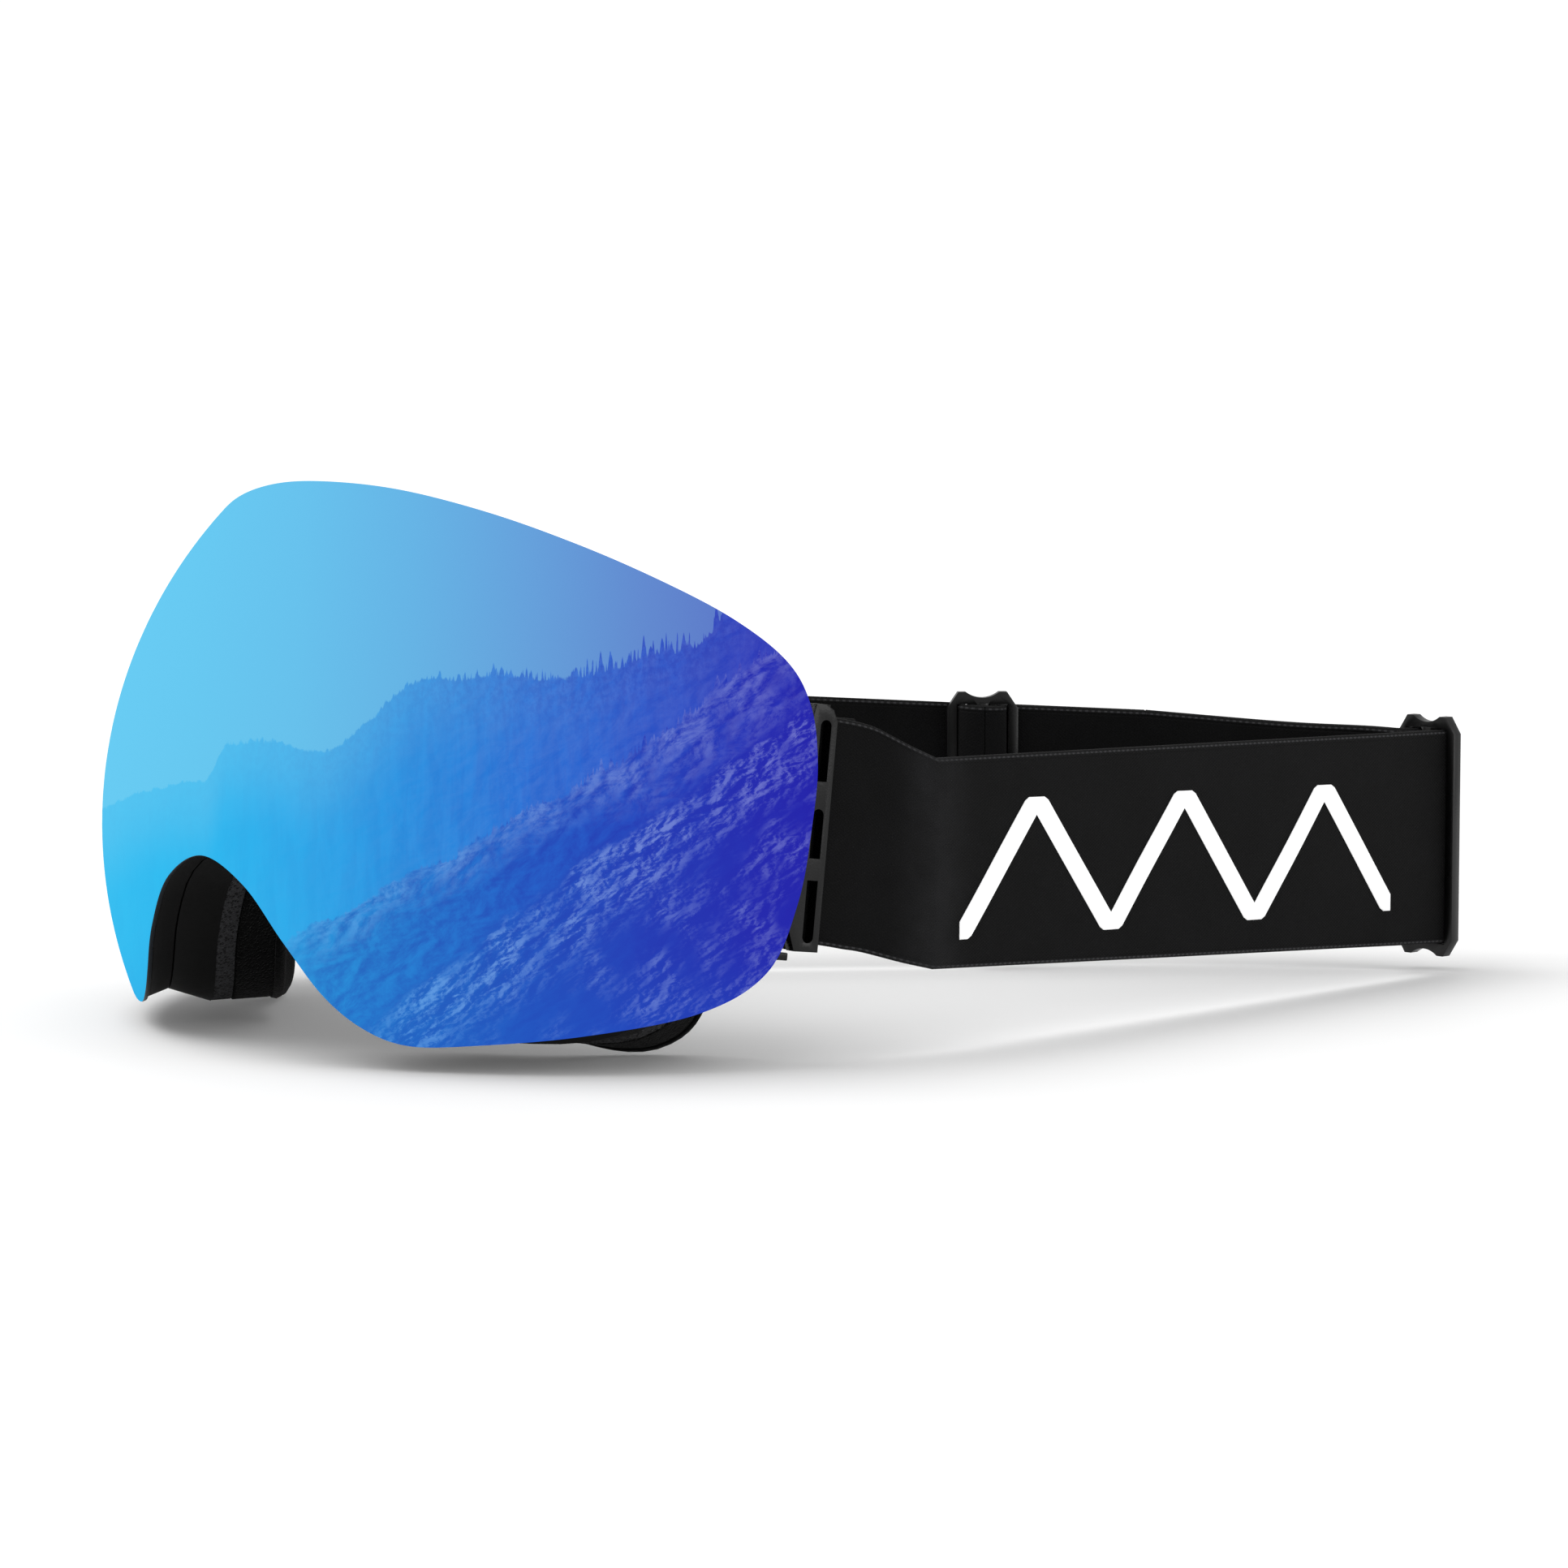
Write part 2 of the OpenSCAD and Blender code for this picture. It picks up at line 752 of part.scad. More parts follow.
// Right strap's middle line: outrigger to crease, straight to the rear slider
near_rear = [rear_x + wound_radius, rear_y, strap_rear_z, 0];
flex_path = [
    concat(right_start, [front_lean]),
    concat(right_heading, [front_lean]),
    [84.9, 6.5, 1.3, 0.05], crease
];
right_flex = open_curve(flex_path, 4);

// Rear bend round the slider's bar and the return beside the left strap
function rear_arc(radius, from, to, steps) =
    [for (k = [0 : steps])
        let (a = from + (to - from) * k / steps)
        [rear_x + radius * cos(a), rear_y + radius * sin(a), strap_rear_z, 0]];

// Left strap's middle line from its outrigger to the rear slider
left_start = leaned(leg_point(left_turn, leg_length + bond_gap), true);
slider_x = 14;
slider_y = 100 + (strap_reach - 165) / 2;
slider_z = -4;
slider_heading = 51.2;
slider_drop = half_thick + 1.1 + 0.2;
function beside_slider(along, out) =
    [slider_x + along * cos(slider_heading) + out * sin(slider_heading),
        slider_y + along * sin(slider_heading) - out * cos(slider_heading),
        slider_z - along * 0.05, 0];

slack_reach = 34;
// Gap between two lengths of webbing that meet at an angle
seam_gap = 0.4;
left_front_points = [
    concat(left_start, [front_lean]),
    concat(leaned(leg_point(left_turn, leg_length + 4), true), [front_lean]),
    concat(leaned(leg_point(left_turn, leg_length + 11), true), [0.09]),
    concat(leaned(leg_point(left_turn, leg_length + 42), true), [0.04]),
    beside_slider(-slack_reach, -slider_drop)
];
return_points = [
    beside_slider(slack_reach, -slider_drop),
    [rear_x - 23.5, rear_y - 18.4, strap_rear_z + 0.9, 0],
    [rear_x - 10.5, rear_y - 8.6, strap_rear_z + 0.3, 0],
    [rear_x - 4.2, rear_y - 5.4, strap_rear_z, 0],
    [rear_x - sewn_radius, rear_y - 2.6, strap_rear_z, 0],
    [rear_x - sewn_radius, rear_y, strap_rear_z, 0]
];

// A path moved sideways by out, towards its right-hand side
function moved(path, out) =
    [for (i = [0 : len(path) - 1])
        let (
            a = path[max(0, i - 1)],
            b = path[min(len(path) - 1, i + 1)],
            d = unit([b[0] - a[0], b[1] - a[1]])
        )
        [path[i][0] + out * d[1], path[i][1] - out * d[0], path[i][2], path[i][3]]];

function reversed(path) = [for (i = [len(path) - 1 : -1 : 0]) path[i]];
function part_of(path, first, last) = [for (i = [first : last]) path[i]];

return_path = open_curve(return_points, 4);
layer_step = strap_thickness + layer_gap;

// Webbing that bends between an outrigger's sewn end and the rest of the strap
flex_count = 8;
left_front_path = open_curve(left_front_points, 4);

module strap_flex(side) {
    color("#151517")
        standing()
            ribbon(side == "right" ? part_of(right_flex, 0, flex_count)
                : part_of(left_front_path, 0, flex_count), sewn_width);
}

// Start a path a little later, so that two lengths of webbing stay apart
function trimmed(path, gap) =
    let (
        d = path[1] - path[0],
        step = gap / norm([d[0], d[1]])
    )
    concat([path[0] + d * step], part_of(path, 1, len(path) - 1));

module strap_right() {
    outward = trimmed(part_of(right_flex, flex_count, len(right_flex) - 1), bond_gap);
    back = moved(reversed(part_of(return_path, 0, len(return_path) - 2)), layer_step);
    color("#151517")
        standing()
            ribbon(concat(
                outward,
                [for (t = [0.25 : 0.25 : 0.95]) blend(crease, near_rear, t)],
                rear_arc(wound_radius, 0, 180, 10),
                back
            ));
}

// Path through the left slider: behind its outer bars, in front of its middle one
gate = wound_radius + half_thick + 0.35;
weave = concat(
    [[-gate - 1.2, -slider_drop], [-gate + 0.05, -slider_drop + 0.02],
        [-gate + 0.57, -slider_drop + 0.43], [-gate + 0.87, -slider_drop + 1.05],
        [-gate + 0.97, -0.3]],
    [for (a = [175 : -17 : 90]) (gate - 0.97) * [cos(a), sin(a)]]
);
function weave_point(w) = beside_slider(w[0], w[1]);

module strap_left() {
    path = part_of(left_front_path, flex_count, len(left_front_path) - 1);
    color("#151517")
        standing()
            ribbon(trimmed(path, bond_gap));
}

module strap_left_slack() {
    half = concat([beside_slider(-slack_reach + seam_gap, -slider_drop),
        beside_slider(-22, -slider_drop)], [for (w = weave) weave_point(w)]);
    other = [for (i = [len(weave) - 2 : -1 : 0])
        weave_point([-weave[i][0], weave[i][1]])];
    color("#151517")
        standing()
            ribbon(concat(half, other, [beside_slider(22, -slider_drop),
                beside_slider(slack_reach - seam_gap, -slider_drop)]));
}

// Sewn to the rear slider's middle bar
module strap_left_tail() {
    fold = [
        [rear_x + sewn_radius, rear_y - 2.5, strap_rear_z, 0],
        [rear_x + sewn_radius - 1.6, rear_y - 6.6, strap_rear_z, 0],
        [rear_x - 0.6, rear_y - 9.8, strap_rear_z, 0]
    ];
    color("#151517")
        standing()
            ribbon(concat(
                part_of(return_path, 0, len(return_path) - 2),
                reversed(rear_arc(sewn_radius, 0, 180, 10)),
                fold
            ));
}

// End of the right strap, sewn round the left slider's middle bar
module strap_right_tail() {
    arc = [for (a = [270 : -22.5 : 0])
        beside_slider(sewn_radius * cos(a), sewn_radius * sin(a))];
    behind = -slider_drop - layer_step;
    color("#151517")
        standing()
            ribbon(concat(
                [beside_slider(slack_reach - seam_gap, behind),
                    beside_slider(20, behind), beside_slider(9, behind),
                    beside_slider(6, behind), beside_slider(4, behind + 0.08),
                    beside_slider(2.4, behind + 0.42), beside_slider(1.1, behind + 0.85)],
                arc
            ));
}

// Three-bar slider: X across, Y through, Z along its bars
module slider_body() {
    half = slider_height / 2;
    wide = wound_radius + half_thick + 2.35;
    bar = 2;
    depth = 2.2;
    rotate([90, 0, 0])
        translate([0, 0, -depth / 2])
            linear_extrude(depth)
                difference() {
                    polygon([
                        for (corner = [[1, 1], [1, -1], [-1, -1], [-1, 1]])
                            let (
                                flat = [wide, half - 3.4],
                                peak = [5, half],
                                order = corner[0] * corner[1] > 0
                                    ? [peak, flat] : [flat, peak]
                            )
                            for (p = order) [p[0] * corner[0], p[1] * corner[1]]
                    ]);
                    for (end = [-1, 1])
                        translate([0, end * (half + 4.2)])
                            circle(r = 5.4);
                    square([2 * (wide - bar), strap_width + 1], center = true);
                }
    cylinder(r = slider_bar, h = strap_width + 1.4, center = true);
}

module slider_right() {
    color("black")
        standing()
            translate([rear_x, rear_y, strap_rear_z])
                slider_body();
}

module slider_left() {
    color("black")
        standing()
            translate([slider_x, slider_y, slider_z])
                rotate([0, 0, slider_heading])
                    slider_body();
}

// Printed zigzag band on the outside of the right strap
module strap_print() {
    run = near_rear - crease;
    length = norm([run[0], run[1]]);
    heading = atan2(run[1], run[0]);
    slope = run[2] / length;
    peaks = 3;
    first = 6;
    pitch = 42.5;
    low = -print_height / 2;
    high = print_height / 2;
    reach = print_stroke * 0.75;
    centre = [for (k = [0 : 2 * peaks]) [first + k * pitch / 2, k % 2 == 0 ? low : high]];
    function raise(p, up) = [p[0], p[1] + slope * p[0] - 1.3 + up];
    color("white")
        standing()
            translate([crease[0], crease[1], crease[2]])
                rotate([90, 0, heading])
                    translate([0, 0, half_thick + 0.02])
                        linear_extrude(0.15)
                            intersection() {
                                polygon(concat(
                                    [for (p = centre) raise(p, reach)],
                                    [for (p = reversed(centre)) raise(p, -reach)]
                                ));
                                polygon([
                                    for (p = [[0, low], [length, low],
                                            [length, high], [0, high]])
                                        raise(p, 0)
                                ]);
                            }
}

outer_lens();
inner_lens();
lens_gasket();
lens_carrier();
lens_magnets();
frame();
frame_magnets();
top_vent_foam();
bottom_vent_foam();
foam_support_layer();
foam_comfort_layer();
fleece_lining();
hinge_bracket("right");  // hinge_bracket_right
hinge_bracket("left");  // hinge_bracket_left
outrigger_pin("right");  // outrigger_pin_right
outrigger_pin("left");  // outrigger_pin_left
outrigger("right");  // outrigger_right
outrigger("left");  // outrigger_left
latch_pin("right");  // latch_pin_right
latch_pin("left");  // latch_pin_left
lens_latch("right");  // lens_latch_right
lens_latch("left");  // lens_latch_left
strap_end("right");  // strap_end_right
strap_end("left");  // strap_end_left
strap_flex("right");  // strap_flex_right
strap_flex("left");  // strap_flex_left
strap_right();
strap_right_tail();
strap_left();
strap_left_slack();
strap_left_tail();
slider_right();
slider_left();
strap_print();
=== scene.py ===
"""Ski goggles standing on a pale table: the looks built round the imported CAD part."""

import math

import bmesh
import bpy
import numpy as np
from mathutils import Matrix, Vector


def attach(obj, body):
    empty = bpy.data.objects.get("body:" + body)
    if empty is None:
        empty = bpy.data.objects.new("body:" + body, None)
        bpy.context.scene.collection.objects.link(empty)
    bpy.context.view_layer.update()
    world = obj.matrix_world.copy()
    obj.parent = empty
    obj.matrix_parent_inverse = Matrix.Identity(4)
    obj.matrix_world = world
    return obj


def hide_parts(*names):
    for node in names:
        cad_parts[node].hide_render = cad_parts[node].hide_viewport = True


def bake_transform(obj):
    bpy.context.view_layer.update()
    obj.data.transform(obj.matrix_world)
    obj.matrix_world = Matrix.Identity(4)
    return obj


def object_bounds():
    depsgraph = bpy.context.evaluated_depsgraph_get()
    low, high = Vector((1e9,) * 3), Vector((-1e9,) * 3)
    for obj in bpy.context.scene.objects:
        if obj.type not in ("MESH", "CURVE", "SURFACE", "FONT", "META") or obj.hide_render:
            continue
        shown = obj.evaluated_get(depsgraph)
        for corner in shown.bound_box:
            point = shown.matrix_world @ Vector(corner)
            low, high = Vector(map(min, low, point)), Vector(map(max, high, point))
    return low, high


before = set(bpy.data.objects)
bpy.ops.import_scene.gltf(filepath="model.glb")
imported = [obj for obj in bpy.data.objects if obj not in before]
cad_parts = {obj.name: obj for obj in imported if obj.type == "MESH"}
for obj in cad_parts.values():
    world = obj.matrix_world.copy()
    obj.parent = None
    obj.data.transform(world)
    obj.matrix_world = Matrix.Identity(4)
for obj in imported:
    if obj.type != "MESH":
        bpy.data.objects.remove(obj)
cad_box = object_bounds()

# Shapes are drawn in millimetres as the goggles stand; to_row() turns them into
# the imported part's metres. SPHERE_CENTRE is in those metres already.
MM = 0.001
LEAN = math.radians(7)
LENS_RADIUS = 90.0
LENS_THICKNESS = 1.2
SPHERE_CENTRE = (0.0, -0.00122, -0.00993)
# length of webbing from the sewn end to the seam of its two pieces and to the crease
RUN_TO_SEAM = 19.8
RUN_TO_CREASE = 29.3

# ---------------------------------------------------------------- geometry


def unit(v):
    return v / np.linalg.norm(v, axis=-1, keepdims=True)


def ramp(a, b, x):
    t = np.clip((np.asarray(x, float) - a) / (b - a), 0, 1)
    return t * t * (3 - 2 * t)


def smooth_curve(points, before, after, steps):
    """A smooth curve through every point, with steps stations between neighbours."""
    p = np.vstack([before, points, after]).astype(float)
    out = []
    for i in range(1, len(p) - 2):
        for k in range(steps):
            t = k / steps
            out.append(
                0.5
                * (
                    2 * p[i]
                    + (p[i + 1] - p[i - 1]) * t
                    + (2 * p[i - 1] - 5 * p[i] + 4 * p[i + 1] - p[i + 2]) * t * t
                    + (3 * p[i] - p[i - 1] - 3 * p[i + 1] + p[i + 2]) * t**3
                )
            )
    out.append(p[-2])
    return np.array(out)


def open_curve(points, steps):
    p = np.array(points, float)
    return smooth_curve(p, 2 * p[0] - p[1], 2 * p[-1] - p[-2], steps)


def lean_back(points):
    """Goggle coordinates, centred on the lens sphere, to standing coordinates."""
    p = np.asarray(points, float)
    c, s = math.cos(LEAN), math.sin(LEAN)
    y, z = p[..., 1], p[..., 2]
    return np.stack([p[..., 0], y * c + z * s, z * c - y * s], -1)


def to_row(points):
    """Standing millimetres, centred on the lens sphere, to the row frame."""
    return np.asarray(points, float) * MM + np.array(SPHERE_CENTRE)


def mesh_object(name, vertices, faces, material, smooth=True):
    mesh = bpy.data.meshes.new(name)
    mesh.from_pydata([tuple(v) for v in vertices], [], faces)
    mesh.update()
    obj = bpy.data.objects.new(name, mesh)
    bpy.context.scene.collection.objects.link(obj)
    mesh.materials.append(material)
    mesh.polygons.foreach_set("use_smooth", [smooth] * len(mesh.polygons))
    return obj


def grid_faces(rows, columns, close_rows, close_columns):
    faces = []
    for i in range(rows if close_rows else rows - 1):
        for j in range(columns if close_columns else columns - 1):
            a = i * columns + j
            b = i * columns + (j + 1) % columns
            c = ((i + 1) % rows) * columns + (j + 1) % columns
            d = ((i + 1) % rows) * columns + j
            faces.append((a, b, c, d))
    return faces


def recalculate(obj, merge=0.0):
    """Merges touching vertices and points every face outwards."""
    bm = bmesh.new()
    bm.from_mesh(obj.data)
    if merge:
        bmesh.ops.remove_doubles(bm, verts=bm.verts, dist=merge)
    bmesh.ops.recalc_face_normals(bm, faces=bm.faces)
    bm.to_mesh(obj.data)
    bm.free()


# ---------------------------------------------------------------- materials


def srgb(code):
    """A hexadecimal colour as linear RGBA."""
    values = [int(code[i : i + 2], 16) / 255 for i in (1, 3, 5)]
    linear = [
        v / 12.92 if v <= 0.04045 else ((v + 0.055) / 1.055) ** 2.4 for v in values
    ]
    return (*linear, 1.0)


class Shader:
    """A node material, built one node at a time."""

    def __init__(self, name):
        self.material = bpy.data.materials.new(name)
        self.material.use_nodes = True
        self.tree = self.material.node_tree
        self.tree.nodes.clear()

    def node(self, kind, values=None, **settings):
        made = self.tree.nodes.new(kind)
        for key, value in settings.items():
            setattr(made, key, value)
        for key, value in (values or {}).items():
            if isinstance(value, bpy.types.NodeSocket):
                self.tree.links.new(value, made.inputs[key])
            else:
                made.inputs[key].default_value = value
        return made

    def math(self, operation, a, b=0.0, c=0.0, clamp=False):
        made = self.node(
            "ShaderNodeMath", {0: a, 1: b, 2: c}, operation=operation, use_clamp=clamp
        )
        return made.outputs[0]

    def add(self, a, b):
        return self.math("ADD", a, b)

    def times(self, a, b):
        return self.math("MULTIPLY", a, b)

    def between(self, value, low, high, out_low=0.0, out_high=1.0):
        made = self.node(
            "ShaderNodeMapRange",
            {
                "Value": value,
                "From Min": low,
                "From Max": high,
                "To Min": out_low,
                "To Max": out_high,
            },
            interpolation_type="SMOOTHSTEP",
        )
        return made.outputs["Result"]

    def mix(self, factor, a, b):
        made = self.node("ShaderNodeMix", {"Factor": factor}, data_type="RGBA")
        for socket, value in ((made.inputs[6], a), (made.inputs[7], b)):
            if isinstance(value, bpy.types.NodeSocket):
                self.tree.links.new(value, socket)
            else:
                socket.default_value = value
        return made.outputs[2]

    def ramp(self, value, stops):
        made = self.node("ShaderNodeValToRGB", {"Fac": value})
        elements = made.color_ramp.elements
        while len(elements) < len(stops):
            elements.new(0.5)
        for element, (place, colour) in zip(elements, stops):
            element.position = place
            element.color = colour
        return made.outputs["Color"]

    def noise(self, vector, scale, detail=3.0, roughness=0.5, distortion=0.0):
        made = self.node(
            "ShaderNodeTexNoise",
            {
                "Vector": vector,
                "Scale": scale,
                "Detail": detail,
                "Roughness": roughness,
                "Distortion": distortion,
            },
        )
        return made.outputs["Fac"]

    def vector(self, x, y, z=0.0):
        return self.node("ShaderNodeCombineXYZ", {0: x, 1: y, 2: z}).outputs[0]

    def object_place(self):
        return self.node("ShaderNodeTexCoord").outputs["Object"]

    def uv(self):
        return self.node("ShaderNodeUVMap", uv_map="cloth").outputs[0]

    def bump(self, height, distance, strength=1.0):
        made = self.node(
            "ShaderNodeBump",
            {"Height": height, "Distance": distance, "Strength": strength},
        )
        return made.outputs[0]

    def finish(self, **values):
        """values are the surface's inputs, with _ for a space."""
        inputs = {k.replace("_", " "): v for k, v in values.items()}
        surface = self.node("ShaderNodeBsdfPrincipled", inputs)
        self.node("ShaderNodeOutputMaterial", {"Surface": surface.outputs[0]})
        return self.material


def plastic(name, colour, roughness, grain=0.02, coat=0.0, specular=0.5):
    """Moulded plastic with a fine grain."""
    s = Shader(name)
    place = s.object_place()
    fine = s.noise(place, 2500.0, 2.0)
    broad = s.noise(place, 60.0, 2.0)
    rough = s.between(broad, 0.3, 0.7, roughness * 0.85, roughness * 1.15)
    return s.finish(
        Base_Color=srgb(colour),
        Roughness=rough,
        Normal=s.bump(fine, grain * MM),
        Specular_IOR_Level=specular,
        Coat_Weight=coat,
        Coat_Roughness=0.15,
    )


def metal(name, colour, roughness):
    s = Shader(name)
    fine = s.noise(s.object_place(), 3000.0, 2.0)
    rough = s.between(fine, 0.3, 0.7, roughness * 0.8, roughness * 1.2)
    return s.finish(Base_Color=srgb(colour), Metallic=1.0, Roughness=rough)


def foam(name, dark, light, cell, depth):
    """Open-cell foam: small round pits."""
    s = Shader(name)
    place = s.object_place()
    cells = s.node(
        "ShaderNodeTexVoronoi", {"Vector": place, "Scale": 1 / (cell * MM)}
    ).outputs["Distance"]
    broad = s.noise(place, 700.0, 4.0, 0.7)
    # painted shade: each pit is painted darker towards its middle, where the bump sinks; the broad
    # noise is random tone
    mixed = s.times(s.between(cells, 0.05, 0.6), s.between(broad, 0.25, 0.75, 0.5, 1.0))
    colour = s.mix(mixed, srgb(dark), srgb(light))
    return s.finish(
        Base_Color=colour,
        Roughness=0.95,
        Specular_IOR_Level=0.05,
        Sheen_Weight=0.04,
        Normal=s.bump(mixed, depth * MM),
    )


def fleece(name, dark, light):
    """Short brushed pile."""
    s = Shader(name)
    place = s.object_place()
    pile = s.noise(place, 1900.0, 5.0, 0.75, 0.6)
    tufts = s.noise(place, 330.0, 3.0, 0.6)
    height = s.add(s.times(pile, 0.6), s.times(tufts, 0.4))
    colour = s.mix(s.between(height, 0.35, 0.68), srgb(dark), srgb(light))
    return s.finish(
        Base_Color=colour,
        Roughness=1.0,
        Specular_IOR_Level=0.05,
        Sheen_Weight=0.1,
        Sheen_Roughness=0.4,
        Normal=s.bump(height, 0.35 * MM),
    )


def webbing(name, dark, light):
    """Woven elastic: ribs along the strap, a fine grain and a firm edge."""
    s = Shader(name)
    split = s.node("ShaderNodeSeparateXYZ", {0: s.uv()})
    along, across = split.outputs[0], split.outputs[1]
    ribs = s.math("SINE", s.times(across, 2 * math.pi / 0.62))
    weft = s.math("SINE", s.times(along, 2 * math.pi / 0.9))
    weave = s.times(s.times(ribs, weft), 0.5)
    place = s.vector(along, across)
    grain = s.noise(place, 3.2, 3.0, 0.75)
    speck = s.noise(place, 7.5, 2.0, 0.6)
    cloud = s.noise(place, 0.09, 3.0, 0.6)
    level = s.add(s.times(s.between(grain, 0.35, 0.7), 0.5), s.times(weave, 0.12))
    level = s.add(level, s.times(s.between(speck, 0.62, 0.75), 0.35))
    level = s.add(level, s.times(s.between(cloud, 0.3, 0.7), 0.25))
    colour = s.mix(s.math("MULTIPLY", level, 1.0, clamp=True), srgb(dark), srgb(light))
    # a bound edge, whose loops catch the light in a dotted line
    away = s.math("ABSOLUTE", s.add(s.math("ABSOLUTE", across), -20.45))
    loops = s.between(s.math("SINE", s.times(along, 2 * math.pi / 1.3)), -0.4, 0.6)
    bound = s.times(s.between(away, 0.24, 0.1), s.between(loops, 0.0, 1.0, 0.35, 1.0))
    colour = s.mix(s.times(bound, 0.55), colour, srgb("#4a4a4c"))
    groove = s.between(s.math("ABSOLUTE", s.add(s.math("ABSOLUTE", across), -19.8)), 0.3, 0.0)
    height = s.add(s.add(s.times(weave, 0.5), grain), s.times(groove, -1.2))
    # painted highlight: the webbing is painted paler along the crease beside the outrigger, where
    # the bend would catch the light
    crease_highlight = s.between(s.math("ABSOLUTE", s.add(along, -RUN_TO_CREASE)), 11.0, 0.0, 0.0, 0.6)
    crease_highlight = s.times(crease_highlight, s.between(cloud, 0.25, 0.75, 0.5, 1.0))
    colour = s.mix(crease_highlight, colour, s.mix(s.between(speck, 0.4, 0.7), srgb("#161617"), srgb("#353537")))
    return s.finish(
        Base_Color=colour,
        Roughness=0.75,
        Specular_IOR_Level=0.1,
        Sheen_Weight=0.02,
        Sheen_Roughness=0.5,
        Normal=s.bump(height, 0.09 * MM),
    )


def printed(name, colour):
    s = Shader(name)
    grain = s.noise(s.object_place(), 1400.0, 3.0)
    return s.finish(
        Base_Color=srgb(colour),
        Roughness=0.7,
        # painted light: the print glows a little, so it stays bright white where shade falls
        Emission_Color=srgb(colour),
        Emission_Strength=0.18,
        Normal=s.bump(grain, 0.03 * MM),
    )


def evenly(codes):
    """Colour stops, evenly spread."""
    return [(k / (len(codes) - 1), srgb(code)) for k, code in enumerate(codes)]


SKY = ["#67caf1", "#66c6ee", "#66bfea", "#65b2e3", "#65a0da", "#628acf", "#5c74c6", "#505cbc"]
GROUND = ["#38bff1", "#2eb9ef", "#30aaea", "#2b90e0", "#2972d6", "#2b58ca", "#2b3cbc", "#2822ac"]
SNOW = ["#66ccf2", "#5cbcec", "#5cacea", "#62a0e4", "#6f97de", "#7288d6", "#6f76cc", "#6a68c4"]


# directions of the painted reflection on the lens sphere
PICTURE_RIGHT = (0.664, 0.748, 0.0)
PICTURE_OUT = (0.748, -0.664, 0.0)
PICTURE_UP = (-0.081, 0.072, 0.994)


